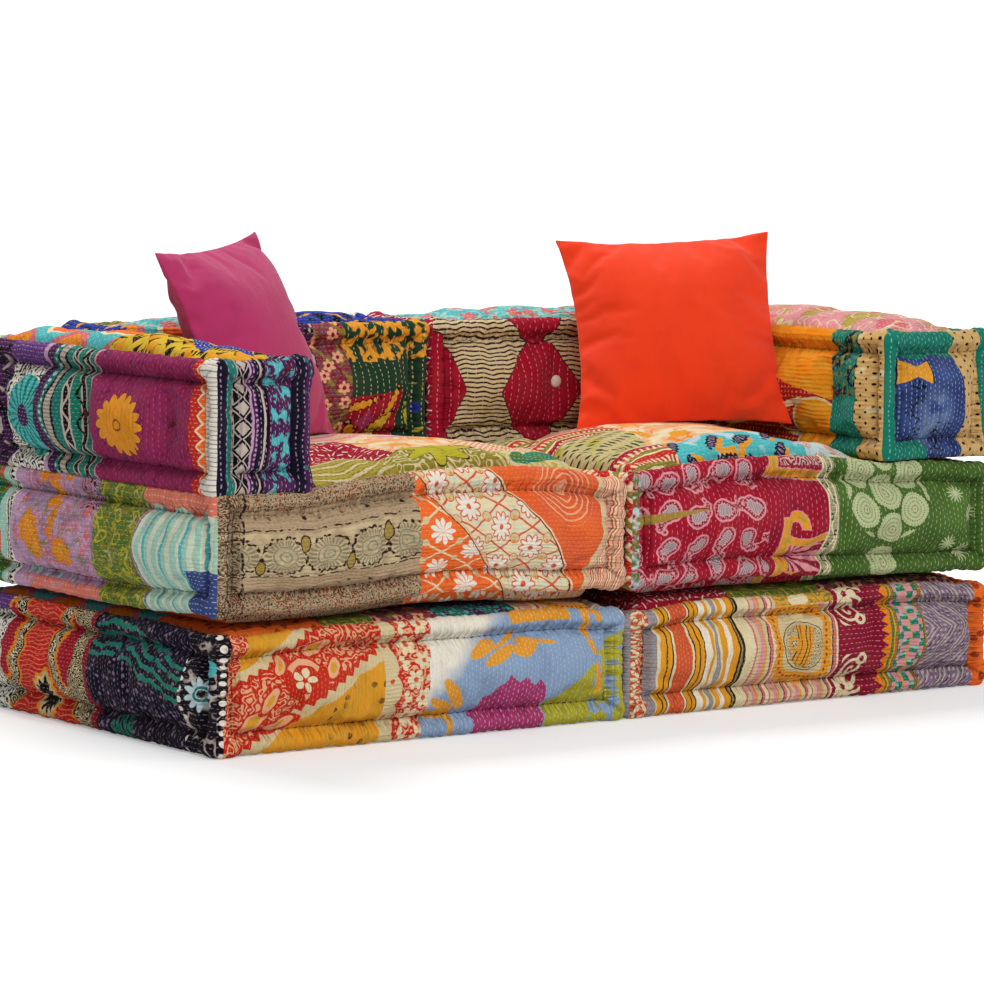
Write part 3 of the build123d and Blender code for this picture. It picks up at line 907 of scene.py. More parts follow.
@quilted(0.9, "ecru", 0.4, 6)
def pink_medallion(c, u, v):
    c.drawn = c.stripes(u, [
        (6, "cream"), (3, "rose"), (7, "ecru"), (9, "pink"), (4, "amber"), (8, "ecru"), (2, "umber"),
        (5, "rose"),
    ])
    x, y = u - 108, (v - 96 + (u - 104) * 0.06) * 0.84
    swell = x * x * x * x + y * y * y * y
    box = calculate("POWER", swell, 0.25) - 60
    c.lay("amber", inside(box + wave(bearing(x, y), 0.22) * 2))
    c.lay("russet", line(box + 8, 1.6) & inside(wave(bearing(x, y), 0.16)))
    c.lay("ecru", inside(box + 15))
    egg = ellipse(x, y + 4, 42, 36)
    c.lay("umber", inside(egg - 1.4))
    c.lay("ecru", inside(egg))
    c.lay("brown", c.scribble(7, 1.8, 0.15) & inside(egg + 2))
    slant = turned(x, y, -18)[0]
    inner = c.stripes(slant + 60, [(9, "amber"), (2, "umber"), (5, "mustard"), (2, "russet")])
    c.lay(inner, inside(egg + 4) & inside(abs(slant) - 17))
    c.lay("amber", line(length(x + 24, y + 4) - 9, 2.4))
    top = inside(165 - v) & inside(60 - u)
    c.lay("mustard", top)
    c.lay("olive", top & c.scribble(15, 2, 0.2, 5))
    c.lay("cream", top & inside(ellipse(x, v - 172, 20, 9)))


@quilted(1.0, "pink", 0.75, 8, 9)
def maroon_scrolls(c, u, v):
    mirrored = abs(v - 92)
    x, y = u - 34, mirrored - 52
    curl = length(x, y) + bearing(x, y) * 2.2
    leaf = line(wrap(curl, 13.8), 2.6) | inside(petals(u - 22, mirrored - 80, 7, 24, 5))
    leaf = leaf & inside(24 - mirrored)
    leaf = leaf & inside(abs(u - 32) - 26)
    leaf = leaf | line(length(u - 46, mirrored - 34) - 8, 2.6)
    c.ground("maroon", "cream", leaf)
    c.lay("tangerine", inside(90 - u) & inside(abs(wrap(v, 17)) - (u - 92) * 0.6))


@quilted(0.7, "sage", 0.4, 6)
def checker_border(c, u, v):
    bow = u + cosine((v - 92) / 75) * -6
    c.ground("leaf", "amber", line(bow - 3, 1.8) | line(bow - 69, 1.8))
    c.lay("coral", line(bow - 8, 1) | line(bow - 64, 1))
    side = floor((bow - 3) / 16)
    blocks = fraction(v / 24 + side * 0.5)
    inner = inside(abs(bow - 36) - 24)
    checks = c.paint("jade", "pink", inside(blocks - 0.5, 0.05))
    checks = c.paint(checks, "mint", inside(0.75 - blocks, 0.05) & c.blotches(0.5, 20, 4))
    c.lay(checks, inner)
    c.lay("amber", line(bow - 36, 1.2))


@quilted(0.9, "stone", 0.3, 6)
def chevron_weave(c, u, v):
    point = u + abs(v - 100) * 0.95
    stripes = line(wrap(point, 9.5), 2.5, 1.2)
    steps = inside(abs(wrap(point, 38)) - 8) & inside(abs(wrap(v, 9)) - 2.6)
    c.ground("stone", "mauve", stripes | steps)
    c.lay("navy", line(wrap(point - 3, 9.5), 1.1) & c.blotches(0.5, 14, 3, 0.2))


@quilted(0, "tangerine", 0.7)
def plain_orange(c, u, v):
    c.ground("orange", "russet", c.specks(19, 0.2))


print(len(CLOTHS), "cloths so far")

# %% [markdown]
# ## The prints of the arms and backs
# The bolsters are narrow, so most of their pieces are a strip of a border or one large motif.
# Bands that bow with the stuffing are drawn as stripes of a bent coordinate.

# %% Left arm
@quilted(1.2, "ice", 0.4, 6)
def teal_scribble(c, u, v):
    x, y = u - 66, v - 82
    c.ground("white", "ink", c.scribble(10, 2.4, 0.2))
    c.lay("jade", blob(x * 0.9, y * 0.7, 44))
    c.lay("turquoise", blob(x * 0.9, y * 0.7, 44) & inside(cosine(bearing(x, y) * 20) - 0.2, 0.6))
    c.lay("purple", blob(x * 0.9, y * 0.7, 12))
    c.lay("violet", inside(158 - v))


@quilted(1.0, "stone", 0.4, 6)
def bowed_stripes(c, u, v):
    bow = u + cosine((v - 92) / 62) * 16
    c.drawn = c.stripes(bow, [
        (12, "lilac"), (3, "ink"), (16, "purple"), (12, "teal"), (4, "ink"), (16, "stone"), (5, "ink"),
        (16, "teal"), (3, "stone"), (10, "ink"), (3, "stone"), (16, "jade"), (3, "stone"), (8, "ink"),
        (3, "stone"), (14, "teal"), (4, "pink"), (30, "plum"),
    ])
    c.lay("ice", between(bow, 31, 43) & blob(bow - 37, wrap(v, 10), 3))
    c.lay("taupe", between(bow, 47, 63) & line(wrap(v, 6), 0.9))
    c.lay("stone", line(bow - 92 + wave(v, 44) * 6, 2) & inside(abs(bow - 92) - 12))
    c.lay("ink", line(bow - 116 - wave(v, 44) * 6, 2.2) & inside(abs(bow - 116) - 12))


@quilted(1.0, "rose", 0.5, 9, 9, upright=True)
def plum_flower(c, u, v):
    c.ground("plum", "purple", c.scribble(28, 4.2, 0.035, 6))
    x, y = (u - 84) * 1.0, (v - 84) * 1.12
    ragged = (c.noise(9, 4) - 0.5) * 6
    around = length(x, y) + ragged
    outer = around - 43 - abs(cosine(bearing(x, y) * 8)) * 13
    c.lay("maroon", inside(outer - 2.4))
    c.lay("amber", inside(outer))
    c.lay("tangerine", line(wave(bearing(x, y), math.pi / 8), 0.3) & inside(outer + 3))
    inner = around - 22 - abs(cosine(bearing(x, y) * 5 + 0.6)) * 8
    c.lay("tangerine", line(inner, 1.6))
    c.lay("russet", line(around - 9, 1.4))
    c.lay("maroon", c.scribble(24, 2.6, 0.05, 11) & inside(136 - u))


@quilted(0.6, "cream", 0.4, 6)
def zigzag_strip(c, u, v):
    tooth = u - 12 - abs(wrap(v, 22)) * 0.9
    c.ground("orange", "scarlet", inside(tooth))
    c.lay("cream", line(tooth, 1.8))
    c.lay("white", inside(24 - u))
    c.lay("grey", inside(24 - u) & line(wrap(v, 6.5), 0.8))


@quilted(1.0, "lilac", 0.8, 7.5, upright=True)
def diamond_columns(c, u, v):
    c.drawn = c.stripes(u + 0.01, [
        (10, "navy"), (14, "teal"), (3, "stone"), (22, "ink"), (3, "lilac"), (7, "purple"),
        (8, "navy"), (3, "stone"), (6, "ink"), (56, "purple"), (15, "navy"), (60, "purple"),
    ])
    diamond = abs(u - 38) * 1.25 + abs(wrap(v, 31)) - 11
    c.lay("stone", inside(abs(u - 38) - 11) & (inside(diamond) | line(diamond - 6, 1.3)))
    c.lay("lilac", blob(wrap(u - 57, 200), wrap(v, 7), 1.6))
    splash = between(u, 80, 128) & c.blotches(0.53, 17, 5, 0.04, 3)
    c.lay("turquoise", splash)
    c.lay("ink", line(u - 77 + wave(v, 50) * 2, 2) & c.blotches(0.6, 20, 2))
    c.lay("jade", inside(148 - u) & c.blotches(0.58, 21, 9, 0.04, 2))


@quilted(1.0, "yellow", 0.5)
def yellow_triangles(c, u, v):
    x, y = half_drop(u, v, 34, 44)
    teeth = inside(abs(x) + abs(y) * 0.8 - 12) & inside(-y)
    c.ground("yellow", "ink", teeth)
    c.lay("ink", line(wrap(u + v * 0.5, 52), 5) & inside(abs(wrap(v, 6)) - 1.6))
    c.lay("amber", c.blotches(0.58, 30, 6, 0.05))
    dx, dy = u - 88, v - 120
    big = abs(dx) * 1.1 + abs(dy) * 0.55 - 44
    c.lay("royal", inside(big))
    c.lay("ice", inside(big + 4) & blob(wrap(u, 7), wrap(v, 7), 1.1))


@quilted(2.5, "cream", 0.5)
def orange_sweeps(c, u, v):
    bend = u + wave(v, 150) * 20
    c.drawn = c.stripes(bend, [
        (30, "tangerine"), (14, "rose"), (26, "turquoise"), (8, "cream"), (30, "orange"),
        (16, "salmon"), (20, "amber"),
    ])


@quilted(1.5, "lilac", 0.6)
def violet_blocks(c, u, v):
    c.ground("purple", "ink", c.scribble(18, 4, 0.2))
    c.lay("stone", c.blotches(0.6, 24, 5, 0.03))
    c.lay("violet", c.blotches(0.64, 30, 9, 0.05))


print(len(CLOTHS), "cloths so far")

# %% Backs
@quilted(1.2, "ecru", 0.95, 13, upright=True)
def forest_leaves(c, u, v):
    low = v - 92 + (u - 40) * -0.12
    c.ground("deep_green", "crimson", inside(low) & inside(abs(u - 46) - 52))
    c.lay("magenta", inside(length(u - 34, v - 48) - 15 - cosine(bearing(u - 34, v - 48) * 4) * 4))
    for x0, y0, turn, long, high, name in (
        (14, 74, 20, 30, 6, "amber"), (76, 78, 62, 26, 6, "amber"), (66, 44, 48, 26, 9, "yellow"),
        (16, 24, -60, 22, 8, "amber"), (52, 22, 30, 18, 5, "yellow"),
    ):
        x, y = turned(u - x0, v - y0, turn)
        blade = ellipse(x, y, long, high) + wave(x, 11) * 1.3
        c.lay("ink", inside(blade - 1.8))
        c.lay(name, inside(blade))
    ring = length(u - 140, (v - 66) * 0.7)
    c.lay("lime", line(ring - 26, 3) & c.blotches(0.55, 12, 3))
    c.lay("royal", blob(u - 140, v - 66, 8))
    c.lay("amber", inside(146 - v) & c.blotches(0.5, 15, 4, 0.06))


@quilted(1.5, "pink", 0.4)
def pink_floral(c, u, v):
    x, y = c.strewn(34, 0.7)
    c.ground("dusk", "maroon", c.scribble(17, 3, 0.16))
    c.lay("olive", c.blotches(0.58, 18, 5, 0.06))
    c.lay("peach", inside(petals(x, y, 6, 11, 3.2)))
    c.lay("maroon", blob(x, y, 3.5))


@quilted(1.5, "sky", 0.4)
def royal_print(c, u, v):
    c.ground("royal", "ink", c.scribble(26, 5, 0.16))
    c.lay("amber", c.blotches(0.63, 17, 7, 0.03))


@quilted(0.9, "pink", 0.9, 13, 9, upright=True)
def lens_stripes(c, u, v):
    rows = line(wrap(v + wave(u, 90) * 1.5 + wave(u, 31) * 0.8, 7.4), 1.4)
    c.ground("ecru", "umber", rows)
    for x0, y0, wide, high in ((0, 92, 57, 96), (204, 88, 86, 84), (204, 212, 60, 44)):
        x = nearer(abs(u - x0) / wide, 1)
        lens = abs(v - y0) - cosine(x * (math.pi / 2)) * high
        c.lay("umber", inside(lens - 2.4) & inside(abs(u - x0) - wide))
        c.lay("crimson", inside(lens) & inside(abs(u - x0) - wide))


@quilted(1.3, "white", 0.5)
def teal_blooms(c, u, v):
    x, y = c.strewn(44, 0.6)
    c.ground("turquoise", "mint", c.scribble(20, 3.5, 0.2))
    c.lay("rose", inside(petals(x, y, 5, 16, 5)))
    c.lay("salmon", blob(x, y, 5))


@quilted(1.5, "ice", 0.6)
def teal_end(c, u, v):
    c.ground("teal", "purple", c.blotches(0.5, 34, 3, 0.06, 2))
    c.lay("turquoise", c.specks(13, 0.3))


print(len(CLOTHS), "cloths so far")

# %% Right arm
@quilted(1.2, "amber", 0.4)
def yellow_checks(c, u, v):
    c.ground("tangerine", "amber", c.blotches(0.5, 30, 3, 0.3))
    red = c.paint("crimson", "tangerine", inside(abs(wrap(u, 8)) - 1.7) & inside(abs(wrap(v, 8)) - 1.7))
    disc = length(u - 238, v - 36) - 52
    panel = inside(v - 122 + (u - 140) * 0.28) & inside(-disc)
    c.lay(red, panel)
    c.lay("ecru", line(v - 66 - (u - 150) * 0.26, 5) & inside(u - 214))
    ring = line(length(u - 178, (v - 58) * 1.1) - 37, 3.6) & inside(v - 64 - (u - 150) * 0.26)
    c.lay("ecru", ring & panel)
    c.lay("ecru", line(disc, 1.8))


@quilted(1.3, "mint", 0.4, upright=True)
def jade_blob(c, u, v):
    c.ground("jade", "teal", c.blotches(0.5, 30, 3, 0.3, 2))
    leaves = inside(96 - v) & inside(30 - v + u * 1.2)
    c.lay("navy", leaves & c.blotches(0.52, 22, 6, 0.05))
    c.lay("olive", leaves & c.blotches(0.58, 12, 9, 0.05))


@quilted(0.8, "ecru", 0.3)
def dotted_tan(c, u, v):
    x, y = half_drop(u, v, 21, 18)
    c.ground("tan", "ecru", c.blotches(0.62, 30, 3))
    c.lay("ink", blob(x, y, 2.3))


@quilted(0.8, "ice", 0.5, 8, upright=True)
def blue_bow(c, u, v):
    c.ground("blue", "indigo", c.blotches(0.5, 40, 3, 0.3, 2))
    c.lay("sky", inside(length((u - 88) * 1.1, (v - 64) * 0.8) - 26, 40) & c.blotches(0.52, 30, 8, 0.4))
    bow = inside(abs(u - 54) - 27) & inside(abs(v - 138) - 9 - abs(u - 54) * 0.4)
    c.lay("amber", bow)
    c.lay("ink", line(abs(u - 54) - 28, 0.9) & inside(abs(v - 138) - 21))
    twist = inside(abs(u - 52 + wave(v, 60) * 7) - 11) | inside(abs(u - 108) - 18) & inside(v - 56)
    c.lay("ink", c.scribble(11, 3, 0.12, 3) & twist & inside(v - 124))
    c.lay("jade", inside(163 - v + wave(u, 80) * 3))
    c.lay("jade", inside(u - 27 + v * 0.05) | inside(v - 24) & inside(abs(u - 52) - 34 + v * 0.4))
    x, y = half_drop(u, v, 21, 18)
    dotted = c.paint("tan", "ink", blob(x, y, 2.3))
    c.lay(dotted, inside(162 - u - v * 0.14))
    c.lay("jade", inside(208 - u - v * 0.08))


@quilted(0, "mint", 0.5)
def jade_plain(c, u, v):
    c.ground("jade", "teal", c.blotches(0.5, 30, 3, 0.4))


@quilted(2.0, "cream", 0.6)
def pink_wash(c, u, v):
    c.ground("pink", "khaki", c.blotches(0.56, 60, 3, 0.08, 2))
    c.lay("rose", c.blotches(0.6, 50, 7, 0.08, 2))
    c.lay("cream", c.scribble(24, 4, 0.06))


@quilted(0.8, "cream", 0.5)
def beige_dots(c, u, v):
    x, y = half_drop(u, v, 30, 34)
    c.ground("ecru", "ink", blob(x, y * 0.6, 2.6))


print(len(CLOTHS), "cloths so far")

# %% [markdown]
# ## The prints of the seat tops
# Smaller pieces of many prints meet on the tops, where people sit. They are seen at a low angle,
# so a ground and one or two motifs are enough for each.

# %% Seat tops
@quilted(1.0, "pink", 0.4, 8)
def crimson_dashes(c, u, v):
    x, y = c.strewn(12, 0.5)
    c.ground("crimson", "white", inside(farther(abs(x) - 4.2, abs(y) - 1.0)))


@quilted(2.4, "peach", 0.3)
def orange_wash(c, u, v):
    c.ground("cream", "peach", c.blotches(0.5, 42, 3, 0.1, 2))
    c.lay("amber", c.blotches(0.58, 30, 7, 0.05, 2))
    c.lay("tangerine", c.scribble(30, 3, 0.1, 6) & c.blotches(0.5, 60, 9))


@quilted(3.0, "white", 0.4)
def lilac_sweeps(c, u, v):
    bend = v + wave(u, 190) * 24
    c.drawn = c.stripes(bend, [
        (30, "cream"), (14, "pink"), (8, "peach"), (26, "ecru"), (10, "salmon"), (16, "lilac"),
        (6, "peach"),
    ])
    c.lay("rose", line(wrap(bend, 7), 0.7))


@quilted(1.2, "olive", 0.8, 6)
def olive_rows(c, u, v):
    bend = v + wave(u, 210) * 14
    c.ground("khaki", "ecru", line(wrap(bend, 16), 2.2))
    c.lay("olive", running_stitch(u, bend, 8, 9, 6, 1.2))


@quilted(1.4, "yellow", 0.5)
def khaki_flower(c, u, v):
    x, y = u - 92, v - 72
    flower = length(x * 0.62, y) - 30 - cosine(bearing(x * 0.62, y) * 7) * 8
    c.ground("olive", "ecru", c.scribble(14, 2.4, 0.16))
    c.lay("umber", inside(flower - 2))
    c.lay("lime", inside(flower))
    c.lay("umber", line(x + y * 0.6, 0.9) & inside(flower + 10))


@quilted(1.6, "peach", 0.3)
def pink_dots(c, u, v):
    bend = v + wave(u, 230) * 18
    x, y = half_drop(u, bend, 9, 9)
    c.ground("cream", "salmon", blob(x, y, 2.4))
    c.lay("russet", line(wrap(bend, 44), 0.9))


@quilted(1.4, "cream", 0.5)
def leaf_patch(c, u, v):
    x, y = turned(u - 70, v - 60, 16)
    c.ground("ecru", "lime", c.scribble(16, 3, 0.13))
    c.lay("jade", inside(ellipse(x, y, 62, 17)))
    c.lay("leaf", inside(ellipse(x, y, 60, 15)) & c.blotches(0.55, 20, 3, 0.3))
    x2, y2 = turned(u - 120, v - 100, -12)
    c.lay("crimson", inside(ellipse(x2, y2, 68, 19)))


@quilted(1.6, "peach", 0.5, 6)
def red_bands(c, u, v):
    bend = length(u - 60, v + 90)
    c.drawn = c.stripes(bend, [
        (18, "scarlet"), (4, "cream"), (7, "olive"), (5, "salmon"), (16, "crimson"), (5, "cream"),
        (9, "olive"), (6, "russet"),
    ])
    c.lay("cream", line(wrap(bend, 35), 6) & line(wrap(bearing(u - 60, v + 90), 0.055), 0.012, 0.01))


@quilted(1.2, "cream", 0.4)
def khaki_dashes(c, u, v):
    bend = length(u + 30, v + 120)
    x, y = half_drop(u, bend, 22, 18)
    c.ground("straw", "lime", c.blotches(0.62, 40, 5))
    c.lay("deep_green", inside(ellipse(x, y, 6, 2.2)))


@quilted(1.6, "ice", 0.4)
def turquoise_leaves(c, u, v):
    x, y = c.strewn(58, 0.6)
    c.ground("turquoise", "ice", c.blotches(0.58, 34, 3, 0.06))
    c.lay("amber", inside(ellipse(x - 4, y - 12, 22, 6)))
    c.lay("navy", inside(ellipse(x, y, 24, 9) + wave(x, 9) * 1.2))
    c.lay("mauve", inside(ellipse(x, y, 19, 5)) & inside(abs(wrap(x, 6)) - 1.4))


@quilted(1.0, "yellow", 0.4)
def olive_specks(c, u, v):
    x, y = half_drop(u, v, 9, 8)
    c.ground("khaki", "olive", blob(x, y, 2.2))
    c.lay("yellow", c.specks(11, 0.3))


@quilted(1.6, "stone", 0.5)
def cream_lines(c, u, v):
    bend = v + wave(u, 260) * 20
    c.ground("cream", "ink", line(wrap(bend, 30), 1.3))
    c.lay("ice", c.blotches(0.4, 40, 3))
    x, y, _ = c.scattered(52, 0.7)
    c.lay("salmon", blob(x, y, 17) & c.scribble(8, 2, 0.25))


@quilted(0, "russet", 0.0, 16)
def underside_cotton(c, u, v):
    c.ground("russet", "orange", c.blotches(0.52, 90, 3, 0.5))

print(len(CLOTHS), "cloths,", sum(len(m.node_tree.nodes) for m in CLOTHS.values()), "nodes")


# %% [markdown]
# ## A block of cloth
# A mattress-like floor cushion is a box of cloth. Its edges are pinched and stitched round a roll
# of stuffing, and its faces swell between them. Here the box is a grid of small squares all over,
# so that the cloth can be pushed about point by point while each square keeps its place in the
# printed patch that it belongs to. Every point knows its place on the flat box (its rest place),
# from which the rounding, the edge rolls and the swelling are worked out.

# %% The box grid
EDGE_ROUND = 0.0185
ARC_HALF = EDGE_ROUND * math.pi / 4
FACES = {"bottom": (2, 0), "top": (2, 1), "front": (1, 0), "back": (1, 1), "left": (0, 0), "right": (0, 1)}
FACE_NAMES = list(FACES)


def face_spot(size, face, u, v):
    """The rest place of a place on a face, from the face's own left end and foot or front."""
    axis, high = FACES[face]
    first, second = [a for a in range(3) if a != axis]
    spot = np.zeros(3)
    spot[axis] = size[axis] if high else 0
    spot[first], spot[second] = u, v
    return spot


def box_grid(size, spacing):
    """A box of quads: rest places, quads, and the face that each quad is on."""
    counts = [max(2, round(length / spacing)) for length in size]
    ids = {}
    rest = []

    def point(key):
        if key not in ids:
            ids[key] = len(rest)
            rest.append([key[a] * size[a] / counts[a] for a in range(3)])
        return ids[key]

    quads, faces = [], []
    for index, name in enumerate(FACE_NAMES):
        axis, high = FACES[name]
        first, second = [a for a in range(3) if a != axis]
        flip = (axis == 1) != (high == 0)
        for i in range(counts[first]):
            for j in range(counts[second]):
                corners = []
                for step in ((0, 0), (1, 0), (1, 1), (0, 1)):
                    key = [0, 0, 0]
                    key[axis] = counts[axis] if high else 0
                    key[first] = i + step[0]
                    key[second] = j + step[1]
                    corners.append(tuple(key))
                if flip:
                    corners.reverse()
                quads.append([point(key) for key in corners])
                faces.append(index)
    return np.array(rest), quads, np.array(faces)


def rounded(rest, size):
    """Where the rest places lie once the box's edges are rounded, and which way is outwards."""
    centre = np.zeros_like(rest)
    outward = np.zeros_like(rest)
    for axis in range(3):
        length = size[axis]
        along = rest[:, axis]
        low = np.clip(1 - along / ARC_HALF, 0, 1)
        high = np.clip(1 - (length - along) / ARC_HALF, 0, 1)
        outward[:, axis] = np.tan((high - low) * math.pi / 4)
        scale = (length - 2 * EDGE_ROUND) / (length - 2 * ARC_HALF)
        inner = np.clip((along - ARC_HALF) * scale, 0, length - 2 * EDGE_ROUND)
        centre[:, axis] = inner + EDGE_ROUND
    outward /= np.linalg.norm(outward, axis=1)[:, None]
    return centre + EDGE_ROUND * outward, outward


def edge_distances(rest, size):
    """For each point: how far it is from its nearest box edge, and from the next one."""
    reach = np.minimum(rest, np.array(size) - rest)
    ordered = np.sort(reach, axis=1)
    return ordered[:, 1], ordered[:, 2]


print("one box grid:", len(box_grid((0.7, 0.7, 0.18), 0.02)[0]), "points")

# %% [markdown]
# ## Rolls, grooves and swelling
# Going inwards from an edge, the cloth first stands proud over the roll, dips into the stitched
# groove behind it, and then rises again over the stuffing. Along the roll the stitches gather the
# cloth into small puckers, which fade out over the face. None of them are regular: the gathers
# come from random knots along each edge, drawn with a fixed seed.

# %% Profiles across and along an edge
ROLL_RISE = 0.0056
GROOVE_AT = EDGE_GROOVE / 1000
GROOVE_HALF = 0.0064
GROOVE_DEPTH = 0.0095


def smooth(low, high, value):
    """0 below low, 1 above high, and a smooth step between."""
    share = np.clip((value - low) / (high - low), 0, 1)
    return share * share * (3 - 2 * share)


def roll_profile(distance):
    """How far the cloth stands out over the roll, and dips in its groove."""
    roll = ROLL_RISE * (1 - smooth(0.006, GROOVE_AT - 0.002, distance))
    groove = GROOVE_DEPTH * np.exp(-(((distance - GROOVE_AT) / GROOVE_HALF) ** 2))
    return roll - groove


def gathers(seed, length, least, most):
    """Rounded folds between sharp creases along an edge, at random distances."""
    rng = np.random.default_rng(seed)
    creases = [-0.05]
    while creases[-1] < length + 0.05:
        creases.append(creases[-1] + rng.uniform(least, most))
    heights = rng.uniform(0.3, 1.0, len(creases))
    creases = np.array(creases)

    def fold(place):
        index = np.clip(np.searchsorted(creases, place) - 1, 0, len(creases) - 2)
        share = np.clip((place - creases[index]) / (creases[index + 1] - creases[index]), 0, 1)
        return heights[index] * np.sin(math.pi * share) ** 0.75 - 0.42

    return fold


def along_edges(rest, size, seed, reach, least, most, slant=0.0):
    """Sum over the twelve edges of folds across the edge that fade out within reach of it."""
    total = np.zeros(len(rest))
    for axis in range(3):
        others = [a for a in range(3) if a != axis]
        for side in range(4):
            ends = (side % 2, side // 2)
            away = np.zeros(len(rest))
            for other, end in zip(others, ends):
                away = np.maximum(away, np.abs(rest[:, other] - end * size[other]))
            fold = gathers(seed * 100 + axis * 10 + side, size[axis], least, most)
            fade = np.clip(1 - away / reach, 0, 1) ** 1.3
            lean = slant * away * np.sin(rest[:, axis] * 31 + seed + side)
            total += fold(rest[:, axis] + lean) * fade
    return total


def lumps(points, scale, seed):
    """Smooth noise between about -1 and 1 at each point."""
    shift = Vector((seed * 3.7, seed * 1.9, seed * 5.3))
    return np.array([noise.noise(Vector(p) / scale + shift) for p in points])


print("the groove dips", -round(float(roll_profile(GROOVE_AT)) * 1000, 1), "mm")

# %% [markdown]
# ## Cloth simulation
# Blender's cloth solver puffs up each face between its pinned rolls. The cloth is cut a few per
# cent too large for its box, as hand-made covers are, so under pressure it gathers into soft folds.
# Rolls, and whatever lies flat under another cushion, are pinned.

# %% Meshes, points and finishing
def new_object(name, points, edges=(), quads=()):
    """A mesh object in the scene."""
    mesh = bpy.data.meshes.new(name)
    mesh.from_pydata([tuple(p) for p in points], edges, quads)
    obj = bpy.data.objects.new(name, mesh)
    bpy.context.scene.collection.objects.link(obj)
    return obj


def settled(obj):
    """Turns an object with its modifiers into a plain smooth mesh."""
    mesh = bpy.data.meshes.new_from_object(obj.evaluated_get(bpy.context.evaluated_depsgraph_get()))
    obj.modifiers.clear()
    obj.data = mesh
    mesh.polygons.foreach_set("use_smooth", np.ones(len(mesh.polygons), bool))
    return mesh


def subdivided(obj, levels):
    subdivision = obj.modifiers.new("subdivision", "SUBSURF")
    subdivision.levels = subdivision.render_levels = levels
    return settled(obj)


def point_values(mesh, label, kind, values):
    """Writes a value for every point of a mesh, under a name."""
    attribute = mesh.attributes.new(label, kind, "POINT")
    key = "vector" if kind == "FLOAT_VECTOR" else "value"
    attribute.data.foreach_set(key, np.asarray(values, np.float32).ravel())


def read_points(source, kind="co"):
    """Places, normals or a named vector of all points, as rows of three numbers."""
    flat = np.empty(len(source) * 3)
    source.foreach_get(kind, flat)
    return flat.reshape(-1, 3)


def rest_places(mesh):
    return read_points(mesh.attributes["rest"].data, "vector")


# %% Stuff a cover
SIM_FRAMES = 16
CLOTH_SPARE = 0.055
PRESSURE = 4.0
COTTON = {
    "quality": 4, "mass": 0.25, "air_damping": 4, "tension_stiffness": 12, "compression_stiffness": 12,
    "shear_stiffness": 4, "bending_stiffness": 0.4,
}


def stuffed(obj, pinned, cap, spare=CLOTH_SPARE, pressure=PRESSURE, frames=SIM_FRAMES):
    """Runs the cloth solver on an object and keeps the result, with each point's move capped."""
    start = read_points(obj.data.vertices)
    cloth = obj.modifiers.new("cloth", "CLOTH")
    settings = cloth.settings
    if pinned is not None:
        group = obj.vertex_groups.new(name="pinned")
        group.add([int(i) for i in np.where(pinned > 0.5)[0]], 1.0, "REPLACE")
        settings.vertex_group_mass = "pinned"
        settings.pin_stiffness = 1
    for key, value in COTTON.items():
        setattr(settings, key, value)
    settings.use_pressure = True
    settings.uniform_pressure_force = pressure
    settings.shrink_min = -spare
    settings.effector_weights.gravity = 0
    cloth.collision_settings.use_collision = False
    scene = bpy.context.scene
    scene.frame_start = 1
    scene.frame_end = frames
    cloth.point_cache.frame_start = 1
    cloth.point_cache.frame_end = frames
    for step in range(1, frames + 1):
        scene.frame_set(step)
    evaluated = obj.evaluated_get(bpy.context.evaluated_depsgraph_get())
    move = read_points(evaluated.data.vertices) - start
    length = np.linalg.norm(move, axis=1)
    share = np.minimum(1, cap / np.maximum(length, 1e-9))
    obj.modifiers.remove(cloth)
    obj.vertex_groups.clear()
    obj.data.vertices.foreach_set("co", (start + move * share[:, None]).ravel())
    obj.data.update()
    scene.frame_set(1)
    print(obj.name, "stuffed: moved up to", round(float(length.max() * 1000), 1), "mm")


# %% [markdown]
# ## Where each cushion goes
# The base panels of the CAD model give each cushion's place and plan, and the covers its height.
# A cushion's own frame starts at its front left corner on the cushion below. Tufts are listed by
# the face that they pull in and their place on it.

# %% Cushion list
PANEL_INSET = 0.015
SEAT_CROWN = 0.046
BOLSTER_CROWN = 0.018
SIDE_SWELL = 0.015
FOOT_LIFT = 0.004
BOLSTER_LIFT = 0.0015

CROWNS = {
    "seat_lower_left": 0,
    "seat_lower_right": 0,
    "seat_upper_left": SEAT_CROWN - 0.006,
    "seat_upper_right": SEAT_CROWN,
    "arm_left": BOLSTER_CROWN,
    "arm_right": BOLSTER_CROWN,
    "back_left": 0.004,
    "back_right": 0.004,
}


def foot_of(name):
    return FOOT_LIFT if name.startswith("seat") else BOLSTER_LIFT


def cushion_box(name, crown):
    """A cushion's front left bottom corner and its size, without its crown."""
    low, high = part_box(name + "_base")
    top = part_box(name + "_cover")[1].z - crown
    foot = foot_of(name)
    corner = np.array([low.x - PANEL_INSET, low.y - PANEL_INSET, low.z + foot])
    wide, deep = high.x - low.x + 2 * PANEL_INSET, high.y - low.y + 2 * PANEL_INSET
    return corner, (wide, deep, top - low.z - foot - FOOT_LIFT)


BOXES = {name: cushion_box(name, crown) for name, crown in CROWNS.items()}
SEEDS = {name: index + 1 for index, name in enumerate(BOXES)}


def free_top(name):
    """The part of a cushion's top that nothing lies on, in its own frame: x from, x to, y from, y to."""
    corner, size = BOXES[name]
    area = [0, size[0], 0, size[1]]
    if name == "seat_upper_left":
        area[0] = BOXES["arm_left"][0][0] + BOXES["arm_left"][1][0] - corner[0]
        area[3] = BOXES["back_left"][0][1] - corner[1]
    elif name == "seat_upper_right":
        area[1] = BOXES["arm_right"][0][0] - corner[0]
        area[3] = BOXES["back_right"][0][1] - corner[1]
    return area


for name, (corner, size) in BOXES.items():
    print(name, [round(float(v), 3) for v in corner], [round(float(v), 3) for v in size])

